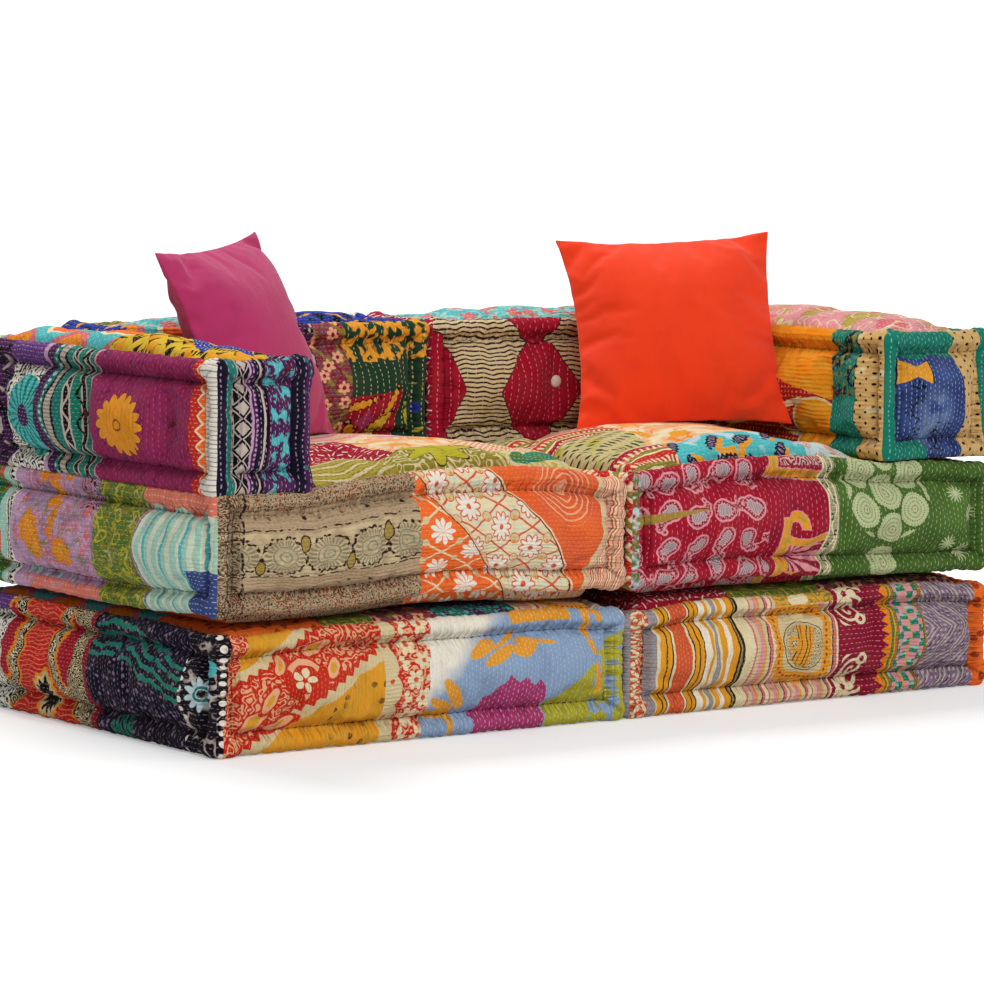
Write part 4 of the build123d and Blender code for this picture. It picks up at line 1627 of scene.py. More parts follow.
# %% [markdown]
# ## From box to cushion
# The rough shape holds the roll, the groove, the crown and the tufts. Where one cushion lies on
# another, the rims stand a little clear of each other, because the stuffing is packed hardest in
# the middle. After the cloth solver has stuffed the rough shape, the mesh is subdivided once and
# the fine gathers are pressed in along its normals.

# %% Rough shape
GRID = 0.0074
TUFT_REACH = 0.036
TUFT_DEPTH = 0.019
RIM_CLEAR = 0.009
FRONT_ARCH = 0.019
CORNER_POINT = 0.007
FOOT_ARCH = {"seat_upper_left": (0.019, 0.40, 0.2), "seat_upper_right": (0.011, 0.23, 0.13)}


def swelling(distance):
    """How fully the cloth has risen at this distance from an edge, from 0 to 1."""
    return 1 - np.exp(-np.maximum(0, distance - 0.024) / 0.03)


def dome(rest, area, power=2.4):
    """A full crown over an area of the top: 1 in the middle and 0 at its border."""
    x0, x1, y0, y1 = area
    across = np.clip(np.abs((2 * rest[:, 0] - x0 - x1) / (x1 - x0)), 0, 1)
    along = np.clip(np.abs((2 * rest[:, 1] - y0 - y1) / (y1 - y0)), 0, 1)
    return (1 - across**power) * (1 - along**power)


def tuft_pull(rest, size, tufts):
    """How strongly the tufts hold each point in, from 0 to 1."""
    pull = np.zeros(len(rest))
    for tuft in tufts:
        near = np.linalg.norm(rest - face_spot(size, *tuft), axis=1)
        pull = np.maximum(pull, np.exp(-((near / TUFT_REACH) ** 1.4)))
    return pull


def rim_shift(name, rest, size):
    """How far the upper and lower rims move up or down: clear of the next cushion, and arched."""
    in_plan = np.minimum(rest, np.array(size) - rest)[:, :2].min(axis=1)
    rim = np.exp(-((in_plan / 0.05) ** 2))
    to_corner = np.sort(np.minimum(rest, np.array(size) - rest)[:, :2], axis=1)[:, 1]
    corner = np.exp(-((to_corner / 0.09) ** 2))
    unequal = 1 + 0.5 * lumps(rest * [1, 1, 0], 0.16, SEEDS[name] + 40)
    shift = np.zeros(len(rest))
    x = rest[:, 0]
    low_share = 1 - smooth(0, 0.09, rest[:, 2])
    high_share = smooth(size[2] - 0.09, size[2], rest[:, 2])
    front = 1 - smooth(0, 0.24, rest[:, 1])
    if "upper" in name:
        right_end = smooth(0.42, 0.66, x) if name.endswith("right") else 0
        shift += RIM_CLEAR * rim * (0.7 + 0.9 * corner) * unequal * low_share * (1 - 0.8 * right_end)
        x0, x1, _, _ = free_top(name)
        middle = np.clip(np.abs((2 * x - x0 - x1) / (x1 - x0)), 0, 1)
        shift += FRONT_ARCH * (1 - middle**2.2) * front * smooth(0.02, size[2], rest[:, 2])
        shift -= 0.011 * smooth(size[0] - 0.13, size[0], x) * front * high_share
        arch = FOOT_ARCH[name]
        under = 1 - smooth(0, 0.14, rest[:, 2])
        shift += front * under * arch[0] * np.exp(-(((x - arch[1]) / arch[2]) ** 2))
    elif "lower" in name:
        drop = 1.6 if name.endswith("right") else 1.0
        shift -= drop * RIM_CLEAR * rim * (0.8 + 0.9 * corner) * unequal * high_share
    return shift


def rough_cushion(name, tufts, grid=GRID):
    """A cushion's rough mesh with its rest places."""
    corner, size = BOXES[name]
    rest, quads, faces = box_grid(size, grid)
    shape, outward = rounded(rest, size)
    near, far = edge_distances(rest, size)
    swell = swelling(near) * swelling(far)
    on_top = rest[:, 2] > size[2] - 1e-6
    on_foot = rest[:, 2] < 1e-6
    on_side = ~on_top & ~on_foot
    area = free_top(name)
    crown = CROWNS[name] * dome(rest, area)
    lift = roll_profile(near) + CORNER_POINT * np.exp(-((far / 0.022) ** 2))
    lift = lift + on_side * SIDE_SWELL * swell
    lift = lift + on_foot * (foot_of(name) + GROOVE_DEPTH) * smooth(0.0, 0.02, near - GROOVE_AT)
    if CROWNS[name] == 0:
        lift = lift + on_top * FOOT_LIFT * swell
    lift = lift + on_top * crown * 0.92 * smooth(0.0, 0.035, near - 0.012)
    rough = 0.0035 * lumps(rest + 0.013 * SEEDS[name], 0.11, SEEDS[name]) * swell
    loose = on_side | (on_top & (crown > 0.001))
    pull = tuft_pull(rest, size, tufts)
    lift = lift + loose * rough - TUFT_DEPTH * pull
    shape = shape + outward * lift[:, None]
    shape[:, 2] += rim_shift(name, rest, size)
    return shape + corner, rest, quads, faces, near, on_foot, on_top, crown, pull


def cushion_object(name, tufts):
    """Builds, stuffs and subdivides one cushion, and presses in its gathers."""
    corner, size = BOXES[name]
    shape, rest, quads, faces, near, on_foot, on_top, crown, pull = rough_cushion(name, tufts)
    obj = new_object(name + "_cloth", shape, quads=quads)
    obj.data.uv_layers.new(name="cloth")
    point_values(obj.data, "rest", "FLOAT_VECTOR", rest)
    obj.data.polygons.foreach_set("material_index", faces.astype(np.int32))
    pinned = np.where(near < GROOVE_AT + 0.005, 1.0, 0.0)
    pinned[on_foot] = 1.0
    pinned[on_top & (crown < 0.002) & (CROWNS[name] > 0)] = 1.0
    pinned[on_top & (CROWNS[name] == 0)] = 1.0
    pinned[pull > 0.75] = 1.0
    stuffed(obj, pinned, 0.012)
    gather(subdivided(obj, 1), name, corner, size)
    return obj


# %% Fine gathers
GATHER = 0.0056
COARSE_FOLD = 0.0036
CREASE = 0.0065


def gather(mesh, name, corner, size):
    """Presses the puckers of the stitched edges, and small unevenness, into a fine mesh."""
    place = read_points(mesh.vertices)
    normal = read_points(mesh.vertices, "normal")
    rest = rest_places(mesh)
    near, _ = edge_distances(rest, size)
    seed = SEEDS[name]
    window = 0.5 + 0.5 * np.exp(-(((near - GROOVE_AT) / 0.013) ** 2))
    fold = along_edges(rest, size, seed, 0.075, 0.010, 0.024, 0.15) * window
    wide = along_edges(rest, size, seed + 30, 0.13, 0.028, 0.06, 0.3)
    uneven = lumps(rest, 0.028, seed + 20)
    lift = GATHER * fold + COARSE_FOLD * wide * smooth(0.0, GROOVE_AT, near) + 0.0009 * uneven
    tightness = 1 + 0.35 * lumps(rest, 0.05, seed + 5)
    lift = lift - CREASE * np.exp(-np.abs(near - GROOVE_AT) / 0.0042) * tightness
    place = place + normal * lift[:, None]
    place[:, 2] = np.maximum(place[:, 2], corner[2] - foot_of(name) + 0.0005)
    if name.startswith("seat"):
        x0, x1, _, y1 = free_top(name)
        free = (rest[:, 0] > x0) & (rest[:, 0] < x1) & (rest[:, 1] < y1)
        covered = ~free if CROWNS[name] else np.ones(len(rest), bool)
        ceiling = corner[2] + size[2] + FOOT_LIFT - 0.0005
        place[:, 2] = np.where(covered, np.minimum(place[:, 2], ceiling), place[:, 2])
    mesh.vertices.foreach_set("co", place.ravel())
    reach = np.minimum(rest, np.array(size) - rest)
    order = np.argsort(reach, axis=1)
    point_values(mesh, "edge", "FLOAT", near)
    point_values(mesh, "along", "FLOAT", rest[np.arange(len(rest)), order[:, 2]])
    mesh.update()


ARM_TUFTS = 0.230


def tufts_of(name):
    """The tufts of a cushion, as face and place, where the CAD model's ties pull it in."""
    corner, size = BOXES[name]
    if name.startswith("arm"):
        middle = size[1] / 2
        return [(f, middle + i * ARM_TUFTS, size[2] / 2) for f in ("left", "right") for i in (-1, 0, 1)]
    if name.startswith("back"):
        return [(f, size[0] / 2, size[2] / 2) for f in ("front", "back")]
    if name.startswith("seat"):
        low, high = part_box(name + "_ties")
        xs = (low.x + 0.006 - corner[0], high.x - 0.006 - corner[0])
        ys = (low.y + 0.006 - corner[1], high.y - 0.006 - corner[1])
        return [("top", x, y) for x in xs for y in ys]


cushions = {}
for name in BOXES:
    cushions[name] = cushion_object(name, tufts_of(name))
    print(name, len(cushions[name].data.vertices), "points")

# %% [markdown]
# ## Which patch lies where
# A side is a row of patches, given by the distance along the side at which each one ends. It
# wraps over the upper roll and under the lower one, and at the front of the upper seats further
# under, because their front edge is raised. A top is rows of patches from front to back, and the
# underside is plain cotton. Lengths are metres from a face's left end, as seen from outside.

# %% Patches of the seats
def row(**ends):
    """Patches from left to right: where each one ends, and by how much that seam leans."""
    return [(*end, name) if isinstance(end, tuple) else (end, 0, name) for name, end in ends.items()]


PATCHES = {
    "seat_upper_left": {
        "front": row(beige_print=(0.347, -0.08), orange_lattice=0.74),
        "left": row(
            pink_floral=0.07, triangle_border=0.18, lilac_flowers=0.395, olive_vines=0.517,
            mint_stripes=0.72,
        ),
        "right": row(crimson_dashes=0.22, olive_rows=0.44, royal_print=0.72),
        "back": row(red_ogees=0.22, warm_stripes=0.42, forest_leaves=0.74),
        "top": [
            (0.09, row(violet_blocks=0.19, olive_rows=0.33, khaki_flower=0.53, leaf_patch=0.74)),
            (0.24, row(crimson_dashes=0.36, orange_wash=0.55, pink_dots=0.66, red_bands=0.74)),
            (0.39, row(khaki_dashes=0.33, lilac_sweeps=0.52, orange_wash=0.74)),
            (0.72, row(lilac_flowers=0.3, orange_wash=0.5, olive_rows=0.62, red_bands=0.74)),
        ],
    },
    "seat_upper_right": {
        "front": row(crimson_paisleys=0.368, scroll_border=0.392, green_medallions=0.74),
        "left": row(teal_blooms=0.2, mustard_paisleys=0.45, red_bands=0.72),
        "right": row(green_medallions=0.26, orange_wash=0.46, navy_waves=0.72),
        "back": row(sky_leaves=0.25, crimson_dashes=0.48, lilac_flowers=0.74),
        "top": [
            (0.10, row(red_bands=0.12, turquoise_leaves=0.37, cream_lines=0.48, olive_specks=0.74)),
            (0.24, row(khaki_dashes=0.16, orange_wash=0.34, turquoise_leaves=0.46, olive_specks=0.74)),
            (0.39, row(red_bands=0.17, orange_wash=0.4, olive_specks=0.74)),
            (0.72, row(khaki_dashes=0.18, lilac_sweeps=0.45, beige_dots=0.74)),
        ],
    },
    "seat_lower_left": {
        "front": row(
            night_floral=(0.006, 0.08), mustard_paisleys=0.276, zigzag_floral=(0.349, 0.08),
            sky_leaves=0.74,
        ),
        "left": row(teal_scribble=0.14, red_ogees=0.388, navy_waves=(0.622, 0.07), night_floral=0.72),
        "right": row(sky_leaves=0.25, khaki_dashes=0.5, maroon_scrolls=0.72),
        "back": row(green_medallions=0.24, pink_floral=0.45, bowed_stripes=0.74),
        "top": [
            (0.20, row(
                plain_orange=0.2, olive_vines=0.29, pink_floral=0.4, teal_end=0.55, pink_medallion=0.74,
            )),
            (0.72, row(orange_sweeps=0.36, lilac_sweeps=0.74)),
        ],
    },
    "seat_lower_right": {
        "front": row(
            coral_strip=0.045, warm_stripes=0.218, pink_medallion=0.398, maroon_scrolls=0.508,
            checker_border=0.58, chevron_weave=0.694, plain_orange=0.74,
        ),
        "left": row(olive_vines=0.3, teal_blooms=0.55, coral_strip=0.72),
        "right": row(plain_orange=0.24, lens_stripes=0.46, night_floral=0.72),
        "back": row(crimson_paisleys=0.28, mint_stripes=0.5, royal_print=0.74),
        "top": [
            (0.20, row(crimson_dashes=0.22, olive_vines=0.4, pink_floral=0.74)),
            (0.72, row(olive_specks=0.36, teal_blooms=0.74)),
        ],
    },
}
print(len(PATCHES), "seats")

# %% Patches of the bolsters
PATCHES.update({
    "arm_left": {
        "left": row(
            violet_blocks=0.14, teal_scribble=0.235, bowed_stripes=0.387, plum_flower=0.64,
            zigzag_strip=0.72,
        ),
        "front": row(diamond_columns=0.18),
        "right": row(diamond_columns=0.22, pink_floral=0.45, green_medallions=0.72),
        "back": row(orange_wash=0.18),
        "top": [(0.34, row(yellow_triangles=0.18)), (0.72, row(orange_sweeps=0.18))],
    },
    "arm_right": {
        "left": row(pink_floral=0.3, yellow_checks=0.567, jade_blob=0.632, dotted_tan=0.692, blue_bow=0.72),
        "front": row(blue_bow=0.24),
        "right": row(jade_plain=0.2, red_ogees=0.42, lilac_flowers=0.72),
        "back": row(teal_scribble=0.24),
        "top": [(0.40, row(pink_wash=0.24)), (0.72, row(beige_dots=0.24))],
    },
    "back_left": {
        "front": row(orange_sweeps=0.18, violet_blocks=0.335, pink_floral=0.395, forest_leaves=0.58),
        "back": row(sky_leaves=0.2, crimson_dashes=0.4, olive_vines=0.58),
        "left": row(royal_print=0.2),
        "right": row(royal_print=0.2),
        "top": [(0.2, row(teal_blooms=0.3, royal_print=0.58))],
    },
    "back_right": {
        "front": row(lens_stripes=0.335, teal_end=0.375, red_ogees=0.55),
        "back": row(plum_flower=0.19, warm_stripes=0.36, teal_blooms=0.55),
        "left": row(crimson_dashes=0.2),
        "right": row(teal_end=0.2),
        "top": [(0.2, row(teal_blooms=0.34, pink_wash=0.55))],
    },
})
print(len(PATCHES), "cushions have patches")

# %% Dress a cushion
ROLL_WRAP = 0.030
FOOT_WRAP = 0.014
FRONT_WRAP = 0.085
SIDE_NAMES = ["front", "back", "left", "right"]


def side_places(rest, size):
    """Distance along each side and away from its foot, for points on it or on the roll above it."""
    x, y, z = rest[..., 0], rest[..., 1], rest[..., 2]
    w, d, h = size
    over, under = z > h - 1e-5, z < 1e-5
    ways = {"front": (x, y), "back": (w - x, d - y), "left": (d - y, x), "right": (y, w - x)}
    heights = {face: np.where(over, h + away, np.where(under, -away, z)) for face, (_, away) in ways.items()}
    return {face: (ways[face][0], heights[face]) for face in ways}


def first_end(ends, place):
    return min(int(np.searchsorted(ends, place)), len(ends) - 1)


def patch_at(strip, u, v):
    """The cloth at a place on a row of patches, and where that patch starts."""
    column = first_end([end + lean * v for end, lean, _ in strip], u)
    return strip[column][2], strip[column - 1][0] if column else 0


def dress(obj, name):
    """Gives every square of a cushion its cloth, and its place on that cloth."""
    mesh = obj.data
    size = BOXES[name][1]
    rest = rest_places(mesh)
    count = len(mesh.polygons)
    corners = np.empty(count * 4, np.int32)
    mesh.loops.foreach_get("vertex_index", corners)
    square = rest[corners].reshape(count, 4, 3)
    middle = square.mean(axis=1)
    faces = np.empty(count, np.int32)
    mesh.polygons.foreach_get("material_index", faces)
    sides = side_places(square, size)
    inward = np.stack([middle[:, 1], size[1] - middle[:, 1], middle[:, 0], size[0] - middle[:, 0]], axis=1)
    nearest = inward.argmin(axis=1)
    on_roll = (faces == FACE_NAMES.index("top")) & (inward.min(axis=1) < ROLL_WRAP)
    wrap_under = np.where((nearest == 0) & name.startswith("seat_upper"), FRONT_WRAP, FOOT_WRAP)
    on_roll |= (faces == FACE_NAMES.index("bottom")) & (inward.min(axis=1) < wrap_under)
    uv = np.zeros((count, 4, 2))
    slots = np.zeros(count, np.int32)
    used = []

    def slot_of(cloth):
        if cloth not in used:
            used.append(cloth)
            mesh.materials.append(CLOTHS[cloth])
        return used.index(cloth)

    mesh.materials.clear()
    for index in range(count):
        face = FACE_NAMES[faces[index]]
        if on_roll[index]:
            face = SIDE_NAMES[nearest[index]]
        if face == "bottom":
            cloth, u0, v0 = "underside_cotton", 0, 0
            u, v = square[index, :, 0], square[index, :, 1]
        elif face == "top":
            u, v = square[index, :, 0], square[index, :, 1]
            rows = PATCHES[name]["top"]
            depth = first_end([end for end, _ in rows], v.mean())
            cloth, u0 = patch_at(rows[depth][1], u.mean(), v.mean())
            v0 = rows[depth - 1][0] if depth else 0
        else:
            u, v = sides[face][0][index], sides[face][1][index]
            cloth, u0 = patch_at(PATCHES[name][face], u.mean(), v.mean())
            v0 = 0
        slots[index] = slot_of(cloth)
        uv[index, :, 0] = u - u0
        uv[index, :, 1] = v - v0
    mesh.polygons.foreach_set("material_index", slots)
    mesh.uv_layers["cloth"].data.foreach_set("uv", uv.astype(np.float32).ravel())
    mesh.update()
    return used


for name, obj in cushions.items():
    used = dress(obj, name)
    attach(obj, name)
    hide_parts(name + "_cover", name + "_base", name + "_core")
    print(name, "wears", len(used), "cloths")

# %% [markdown]
# ## Throw pillows
# A throw pillow is two squares of plain cotton, sewn together round the edge and filled until it
# is plump. The cloth solver does just that: two flat sheets share their edge, pressure blows them
# up, and the corners stay behind as soft points. The result is scaled to the CAD pillow's size.

# %% Pillow cotton
def pillow_cotton(name, colour, shade):
    c = Cloth(name)
    weave = wave(c.flat_u, 1.0) + wave(c.flat_v, 1.0)
    soft = c.noise(45, 2, 3)
    tone = c.paint(colour, shade, (soft - 0.45) * 1.1 + (c.noise(1.6, 3, 1) - 0.5) * 0.25)
    height = weave * 0.035 + c.noise(28, 6, 4) * 1.6
    return surfaced(c.material, tone, height, 0.85, 0.25, 0.15)


PILLOW_CLOTHS = {
    "pillow_orange": pillow_cotton("orange_cotton", "hot_orange", "deep_orange"),
    "pillow_magenta": pillow_cotton("magenta_cotton", "hot_pink", "deep_pink"),
}

# %% Two sheets sewn round the edge
PILLOW_SIZE = (0.346, 0.333, 0.128)
PILLOW_STEPS = 36
EDGE_BOW = 0.085


def flat_pillow(name, flat=0.37):
    """Two square sheets that share their edge, a little apart in the middle."""
    n = PILLOW_STEPS
    points, ids, quads, uvs = [], {}, [], []
    for side in (1, -1):
        for i in range(n + 1):
            for j in range(n + 1):
                edge = i in (0, n) or j in (0, n)
                key = (i, j, 0 if edge else side)
                if key in ids:
                    continue
                ids[key] = len(points)
                x, y = i / n - 0.5, j / n - 0.5
                puff = (1 - (2 * x) ** 4) * (1 - (2 * y) ** 4)
                bow_x = 1 - (EDGE_BOW + 0.04 * (x < 0)) * (1 - abs(2 * y) ** 2.5)
                bow_y = 1 - EDGE_BOW * (1 - abs(2 * x) ** 2.5)
                points.append((x * flat * bow_x, y * flat * bow_y, side * 0.03 * puff))
        for i in range(n):
            for j in range(n):
                keys = [(i, j), (i + 1, j), (i + 1, j + 1), (i, j + 1)]
                if side < 0:
                    keys.reverse()
                corners = []
                for a, b in keys:
                    edge = a in (0, n) or b in (0, n)
                    corners.append(ids[(a, b, 0 if edge else side)])
                    uvs.append((a / n * flat, b / n * flat))
                quads.append(corners)
    obj = new_object(name + "_cushion", points, quads=quads)
    layer = obj.data.uv_layers.new(name="cloth")
    layer.data.foreach_set("uv", np.array(uvs, np.float32).ravel())
    return obj


def throw_pillow(name, turn, lean, roll, seed):
    """Blows up the two sheets, sizes them as the CAD pillow, and stands them where it stands."""
    obj = flat_pillow(name)
    place = read_points(obj.data.vertices)
    seam = np.abs(place[:, 2]) < 1e-6
    place[:, 2] += 0.002 * lumps(place, 0.05, seed)
    obj.data.vertices.foreach_set("co", place.ravel())
    stuffed(obj, seam, 1.0, spare=0.05, pressure=9.0, frames=26)
    fine = subdivided(obj, 2)
    place = read_points(fine.vertices)
    low, high = place.min(axis=0), place.max(axis=0)
    place = (place - (low + high) / 2) / (high - low) * PILLOW_SIZE
    cad_low, cad_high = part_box(name + "_cover")
    stand = stood((cad_low + cad_high) / 2, turn, 90 - lean, roll)
    place = place @ np.array(stand.to_3x3()).T + np.array(stand.translation)
    fine.vertices.foreach_set("co", place.ravel())
    fine.update()
    fine.materials.clear()
    fine.materials.append(PILLOW_CLOTHS[name])
    return obj


for name, turn, lean, roll, seed in (("pillow_orange", -30, 26, 3, 3), ("pillow_magenta", 30, 23, 4, 8)):
    pillow = throw_pillow(name, turn, lean, roll, seed)
    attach(pillow, name)
    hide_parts(name + "_cover", name + "_pad")
    name.replace("pillow_", "") + "_cotton"
    print(pillow.name, len(pillow.data.vertices), "points")

# %% [markdown]
# ## Stitches, knots and buttons
# The grooves beside the edge rolls are sewn by hand with strong thread, and each tuft is tied off
# with a knot. Both repeat many times, so Geometry Nodes make them: one tree lays a stitch at even
# steps along a path, and the other ties a knot on a point. The paths and points are found on the
# finished cushions through their rest places.

# %% Thread and button cotton
def thread_material(name, colour, shade):
    material = new_material(name)
    tree = material.node_tree
    place = step(tree, "ShaderNodeTexCoord").node.outputs["Object"]
    twist = step(tree, "ShaderNodeTexNoise", Vector=place, Scale=900, Detail=2)
    ramp = step(tree, "ShaderNodeValToRGB", twist)
    for mark, place, tint in zip(ramp.node.color_ramp.elements, (0.35, 0.65), (shade, colour)):
        mark.position = place
        mark.color = dye(tint)
    return surfaced(material, ramp, twist, 0.8, 0.15, bump_step=0.0003)


dark_thread = thread_material("dark_thread", "umber", "ink")
tuft_twine = thread_material("tuft_twine", "maroon", "umber")
white_button = thread_material("white_button_cotton", "white", "stone")
print("threads:", dark_thread.name, tuft_twine.name, white_button.name)

# %% Run a tree on an object
GEOMETRY = {"Geometry": "Geometry"}


def baked(obj, tree, values):
    """Runs a tree on an object and keeps the result as a plain mesh."""
    modifier = obj.modifiers.new(tree.name, "NODES")
    modifier.node_group = tree
    for item in tree.interface.items_tree:
        if item.in_out == "INPUT" and item.name in values:
            modifier[item.identifier] = values[item.name]
    obj.update_tag()
    settled(obj)
    return obj


def realized(tree, start, end, points, instance, turn, material, **more):
    """The last steps of a tree: things on points, made real, in their material."""
    placed = step(
        tree, "GeometryNodeInstanceOnPoints", Points=points, Instance=instance, Rotation=turn, **more
    )
    real = step(tree, "GeometryNodeRealizeInstances", placed)
    dressed = step(tree, "GeometryNodeSetMaterial", real, Material=start[material])
    tree.links.new(dressed, end["Geometry"])
    print(tree.name + ":", len(tree.nodes), "nodes")


# %% A line of stitches
STITCH_PITCH, STITCH_LENGTH, THREAD_RADIUS = 0.0125, 0.0062, 0.0006
stitch_line, start, end = new_tree("stitch_line", "GeometryNodeTree", {
    **GEOMETRY, "Pitch": "Float", "Stitch Length": "Float", "Thread Radius": "Float", "Thread": "Material",
}, GEOMETRY)
path = step(stitch_line, "GeometryNodeMeshToCurve", start["Geometry"])
even = step(stitch_line, "GeometryNodeResampleCurve", path, Length=start["Pitch"], mode="LENGTH")
half = step(stitch_line, "ShaderNodeMath", start["Stitch Length"], 0.5, operation="MULTIPLY")
sizes = step(stitch_line, "ShaderNodeCombineXYZ", half, start["Thread Radius"], start["Thread Radius"])
bead = step(stitch_line, "GeometryNodeMeshUVSphere", 6, 4, 1.0)
stitch = step(stitch_line, "GeometryNodeTransform", bead, Scale=sizes)
tangent = step(stitch_line, "GeometryNodeInputTangent")
lay = step(stitch_line, "FunctionNodeAlignRotationToVector", Vector=tangent, axis="X")
vary = step(stitch_line, "FunctionNodeRandomValue", Min=0.7, Max=1.15, Seed=7, data_type="FLOAT")
realized(stitch_line, start, end, even, stitch, lay, "Thread", Scale=vary)

# %% A tuft knot
KNOT_RADIUS, TAIL_RADIUS = 0.0042, 0.0008
TAILS = [
    ((0.004, 0.002, 0.006), (0.010, 0.006, 0.007), (0.013, 0.004, 0.002)),
    ((-0.003, 0.005, 0.007), (-0.008, 0.009, 0.006), (-0.012, 0.007, 0.001)),
    ((0.006, -0.006, 0.006), (-0.004, -0.010, 0.006), (-0.002, 0.0, 0.002)),
]
tuft_knot, start, end = new_tree("tuft_knot", "GeometryNodeTree", {
    **GEOMETRY, "Knot Radius": "Float", "Tail Radius": "Float", "Twine": "Material",
}, GEOMETRY)
ball = step(tuft_knot, "GeometryNodeMeshUVSphere", 14, 8, start["Knot Radius"])
flat_ball = step(tuft_knot, "GeometryNodeTransform", ball, Scale=(1, 0.8, 0.62))
joined = step(tuft_knot, "GeometryNodeJoinGeometry", flat_ball)
tail_round = step(tuft_knot, "GeometryNodeCurvePrimitiveCircle", Resolution=6, Radius=start["Tail Radius"])
for one, two, tip in TAILS:
    tail = step(
        tuft_knot, "GeometryNodeCurvePrimitiveBezierSegment",
        Resolution=10, Start=(0, 0, 0.001), Start_Handle=one, End_Handle=two, End=tip,
    )
    tube = step(tuft_knot, "GeometryNodeCurveToMesh", tail, tail_round, Fill_Caps=True)
    tuft_knot.links.new(tube, joined.node.inputs[0])
lie = step(tuft_knot, "GeometryNodeInputNamedAttribute", "outward", data_type="FLOAT_VECTOR")
stand = step(tuft_knot, "FunctionNodeAlignRotationToVector", Vector=lie, axis="Z")
spin = step(tuft_knot, "FunctionNodeRandomValue", Max=6.28, Seed=4, data_type="FLOAT")
about = step(tuft_knot, "FunctionNodeAxisAngleToRotation", Angle=spin)
turned_knot = step(tuft_knot, "FunctionNodeRotateRotation", stand, about, rotation_space="LOCAL")
points = step(tuft_knot, "GeometryNodeMeshToPoints", start["Geometry"])
realized(tuft_knot, start, end, points, joined, turned_knot, "Twine")

# %% Places on a finished cushion
GROOVE_STEP = 0.006


def surface(name):
    """A finder that gives the place and outward direction of the cloth nearest to a rest place."""
    mesh = cushions[name].data
    rest = rest_places(mesh)
    place = read_points(mesh.vertices)
    normal = read_points(mesh.vertices, "normal")
    tree = kdtree.KDTree(len(rest))
    for index, spot in enumerate(rest):
        tree.insert(spot, index)
    tree.balance()

    def find(face, u, v):
        index = tree.find(face_spot(BOXES[name][1], face, u, v))[1]
        return place[index], normal[index]

    return find


def groove_loops(name, find):
    """The grooves of the four sides and the top, as closed loops on the cloth."""
    size = BOXES[name][1]
    loops = []
    for face in ("top", "front", "back", "left", "right"):
        wide, high = [size[a] for a in range(3) if a != FACES[face][0]]
        g = GROOVE_AT
        corners = [(g, g), (wide - g, g), (wide - g, high - g), (g, high - g), (g, g)]
        loop = []
        for (u0, v0), (u1, v1) in zip(corners, corners[1:]):
            steps = max(2, int(math.hypot(u1 - u0, v1 - v0) / GROOVE_STEP))
            for index in range(steps):
                share = index / steps
                place, normal = find(face, u0 + (u1 - u0) * share, v0 + (v1 - v0) * share)
                loop.append(place + normal * THREAD_RADIUS)
        loops.append(loop)
    return loops


# %% Sew the grooves and tie the tufts
def stitches_of(name, find):
    points, edges = [], []
    for loop in groove_loops(name, find):
        base = len(points)
        points += loop
        edges += [(base + i, base + (i + 1) % len(loop)) for i in range(len(loop))]
    return baked(new_object(name + "_stitches", points, edges), stitch_line, {
        "Pitch": STITCH_PITCH, "Stitch Length": STITCH_LENGTH, "Thread Radius": THREAD_RADIUS,
        "Thread": dark_thread,
    })


def knots_of(name, find, spots):
    found = [find(*spot) for spot in spots]
    obj = new_object(name + "_knots", [place + normal * 0.0015 for place, normal in found])
    point_values(obj.data, "outward", "FLOAT_VECTOR", [normal for _, normal in found])
    sizes = {"Knot Radius": KNOT_RADIUS, "Tail Radius": TAIL_RADIUS}
    return baked(obj, tuft_knot, {**sizes, "Twine": tuft_twine})


# %% Cloth-covered buttons
BUTTON_SIDES = 40
BUTTON_PROFILE = [
    (0.0, 0.0052), (0.0035, 0.005), (0.0065, 0.0042), (0.0088, 0.0026), (0.0101, 0.0006), (0.0100, -0.0012),
    (0.008, -0.0026), (0.0, -0.003),
]


def add_button(mesh, place, outward):
    """A cloth-covered button: a dome with its cloth gathered in at the back."""
    rings = []
    for r, z in BUTTON_PROFILE:
        ring = []
        for index in range(BUTTON_SIDES if r else 1):
            angle = index / BUTTON_SIDES * 2 * math.pi
            pucker = 1 + (0.03 * math.cos(angle * 13) if z < 0.001 else 0.008 * math.cos(angle * 5 + r * 900))
            ring.append(mesh.verts.new((r * pucker * math.cos(angle), r * pucker * math.sin(angle), z)))
        rings.append(ring)
    for upper, lower in zip(rings, rings[1:]):
        for index in range(BUTTON_SIDES):
            after = (index + 1) % BUTTON_SIDES
            if len(upper) == 1:
                mesh.faces.new((upper[0], lower[index], lower[after]))
            elif len(lower) == 1:
                mesh.faces.new((upper[index], lower[0], upper[after]))
            else:
                mesh.faces.new((upper[index], lower[index], lower[after], upper[after]))
    made = [v for ring in rings for v in ring]
    turn = Vector(outward).to_track_quat("Z", "Y").to_matrix().to_4x4()
    bmesh.ops.transform(mesh, matrix=Matrix.Translation(Vector(place)) @ turn, verts=made)


def joined_buttons(name, find):
    mesh = bmesh.new()
    for tuft in tufts_of(name):
        place, normal = find(*tuft)
        add_button(mesh, place + normal * 0.002, normal)
    bmesh.ops.recalc_face_normals(mesh, faces=mesh.faces)
    obj = new_object(name + "_buttons", [])
    mesh.to_mesh(obj.data)
    mesh.free()
    obj.data.materials.append(white_button)
    obj.data.polygons.foreach_set("use_smooth", np.ones(len(obj.data.polygons), bool))
    return obj


print("a button is", round(2000 * max(radius for radius, _ in BUTTON_PROFILE)), "mm wide")

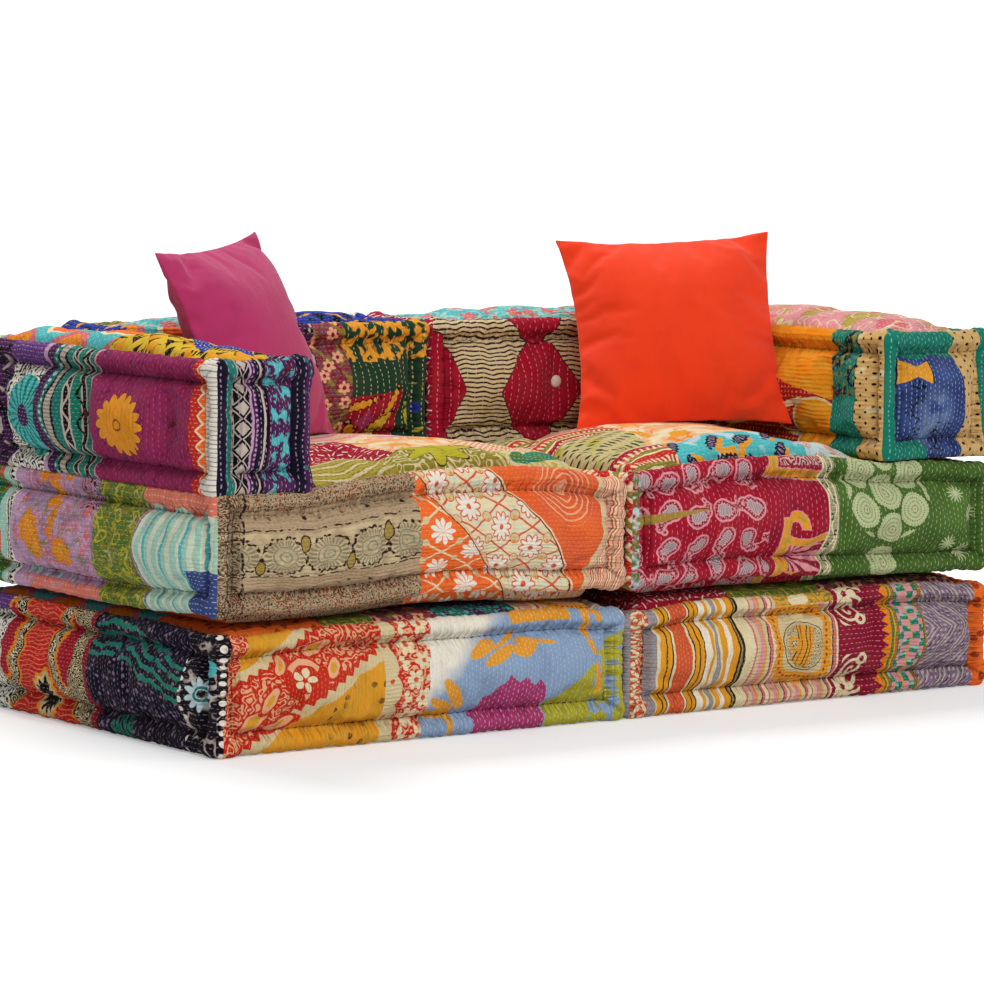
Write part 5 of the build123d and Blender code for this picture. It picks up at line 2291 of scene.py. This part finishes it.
# %% Dress every cushion with its stitches and ties
for name in BOXES:
    find = surface(name)
    sewn = stitches_of(name, find)
    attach(sewn, name)
    if name.startswith("back"):
        tie = joined_buttons(name, find)
    else:
        spots = list(tufts_of(name))
        if name == "arm_left":
            spots.append(("front", 0.118, BOXES[name][1][2] - 0.006))
        tie = knots_of(name, find, spots)
    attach(tie, name)
    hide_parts(name + "_ties")
    print(name, len(sewn.data.polygons), "stitch faces,", len(tie.data.polygons), "tie faces")


# %% [markdown]
# ## Studio
# A white floor and a white world, with broad soft lamps. The camera sees the floor and the world
# as white, while the object is lit at a plain level and keeps its soft shadow.

# %% Lamps
FLOOR_GLOW = (0.30, 0.95)
GLOW_FROM, GLOW_TO = 1.0, 3.0
WORLD_LIGHT, WORLD_GLOW = 0.36, 0.66


def area_lamp(name, place, target, size, power):
    """A square soft lamp that points at a target."""
    data = bpy.data.lights.new(name, "AREA")
    data.shape = "SQUARE"
    data.size = size
    data.energy = power
    data.color = (1.0, 0.97, 0.93)
    lamp = bpy.data.objects.new(name, data)
    bpy.context.scene.collection.objects.link(lamp)
    lamp.location = place
    lamp.rotation_euler = (Vector(target) - Vector(place)).to_track_quat("-Z", "Y").to_euler()


area_lamp("key_lamp", (-1.7, -4.0, 3.0), (0, 0, 0.3), 2.0, 108)
area_lamp("fill_lamp", (3.6, -3.0, 2.2), (0, 0, 0.3), 2.6, 33)
area_lamp("top_lamp", (-0.3, 1.7, 3.3), (0, 0.1, 0.3), 1.4, 74)
print(len(bpy.data.lights), "lamps")

# %% Floor and world
def shown_white(tree, lit, strength):
    """Adds white light to a shader for what the camera and reflections see of it."""
    path = step(tree, "ShaderNodeLightPath").node.outputs
    seen = step(tree, "ShaderNodeMath", path["Is Camera Ray"], path["Is Glossy Ray"], operation="MAXIMUM")
    level = step(tree, "ShaderNodeMath", seen, strength, operation="MULTIPLY")
    glow = step(tree, "ShaderNodeEmission", Strength=level)
    return step(tree, "ShaderNodeAddShader", lit, glow)


def growing_glow(tree, near, far):
    """A glow that rises with the distance from the object, where the lamps no longer reach."""
    place = step(tree, "ShaderNodeTexCoord").node.outputs["Object"]
    away = step(tree, "ShaderNodeVectorMath", place, operation="LENGTH")
    return step(
        tree, "ShaderNodeMapRange", Value=away, From_Min=GLOW_FROM, From_Max=GLOW_TO, To_Min=near, To_Max=far,
        interpolation_type="SMOOTHSTEP",
    )


floor = new_object("floor", [(-60, -60, 0), (60, -60, 0), (60, 60, 0), (-60, 60, 0)], quads=[(0, 1, 2, 3)])
floor_material = new_material("white_floor")
floor_tree = floor_material.node_tree
floor_shader = floor_tree.nodes["Principled BSDF"]
floor_shader.inputs["Base Color"].default_value = (0.79, 0.80, 0.82, 1)
floor_shader.inputs["Roughness"].default_value = 0.9
floor_shader.inputs["Specular IOR Level"].default_value = 0
floor_white = shown_white(floor_tree, floor_shader.outputs[0], growing_glow(floor_tree, *FLOOR_GLOW))
floor_tree.links.new(floor_white, floor_tree.nodes["Material Output"].inputs["Surface"])
floor.data.materials.append(floor_material)

world = bpy.data.worlds.new("studio")
bpy.context.scene.world = world
world.use_nodes = True
background = world.node_tree.nodes["Background"]
background.inputs["Color"].default_value = (1, 1, 1, 1)
background.inputs["Strength"].default_value = WORLD_LIGHT
white_world = shown_white(world.node_tree, background.outputs[0], WORLD_GLOW)
world.node_tree.links.new(white_world, world.node_tree.nodes["World Output"].inputs["Surface"])
bpy.context.scene.view_settings.view_transform = "Standard"
print("floor and world are white")

# %% The end
print("the scene is built")
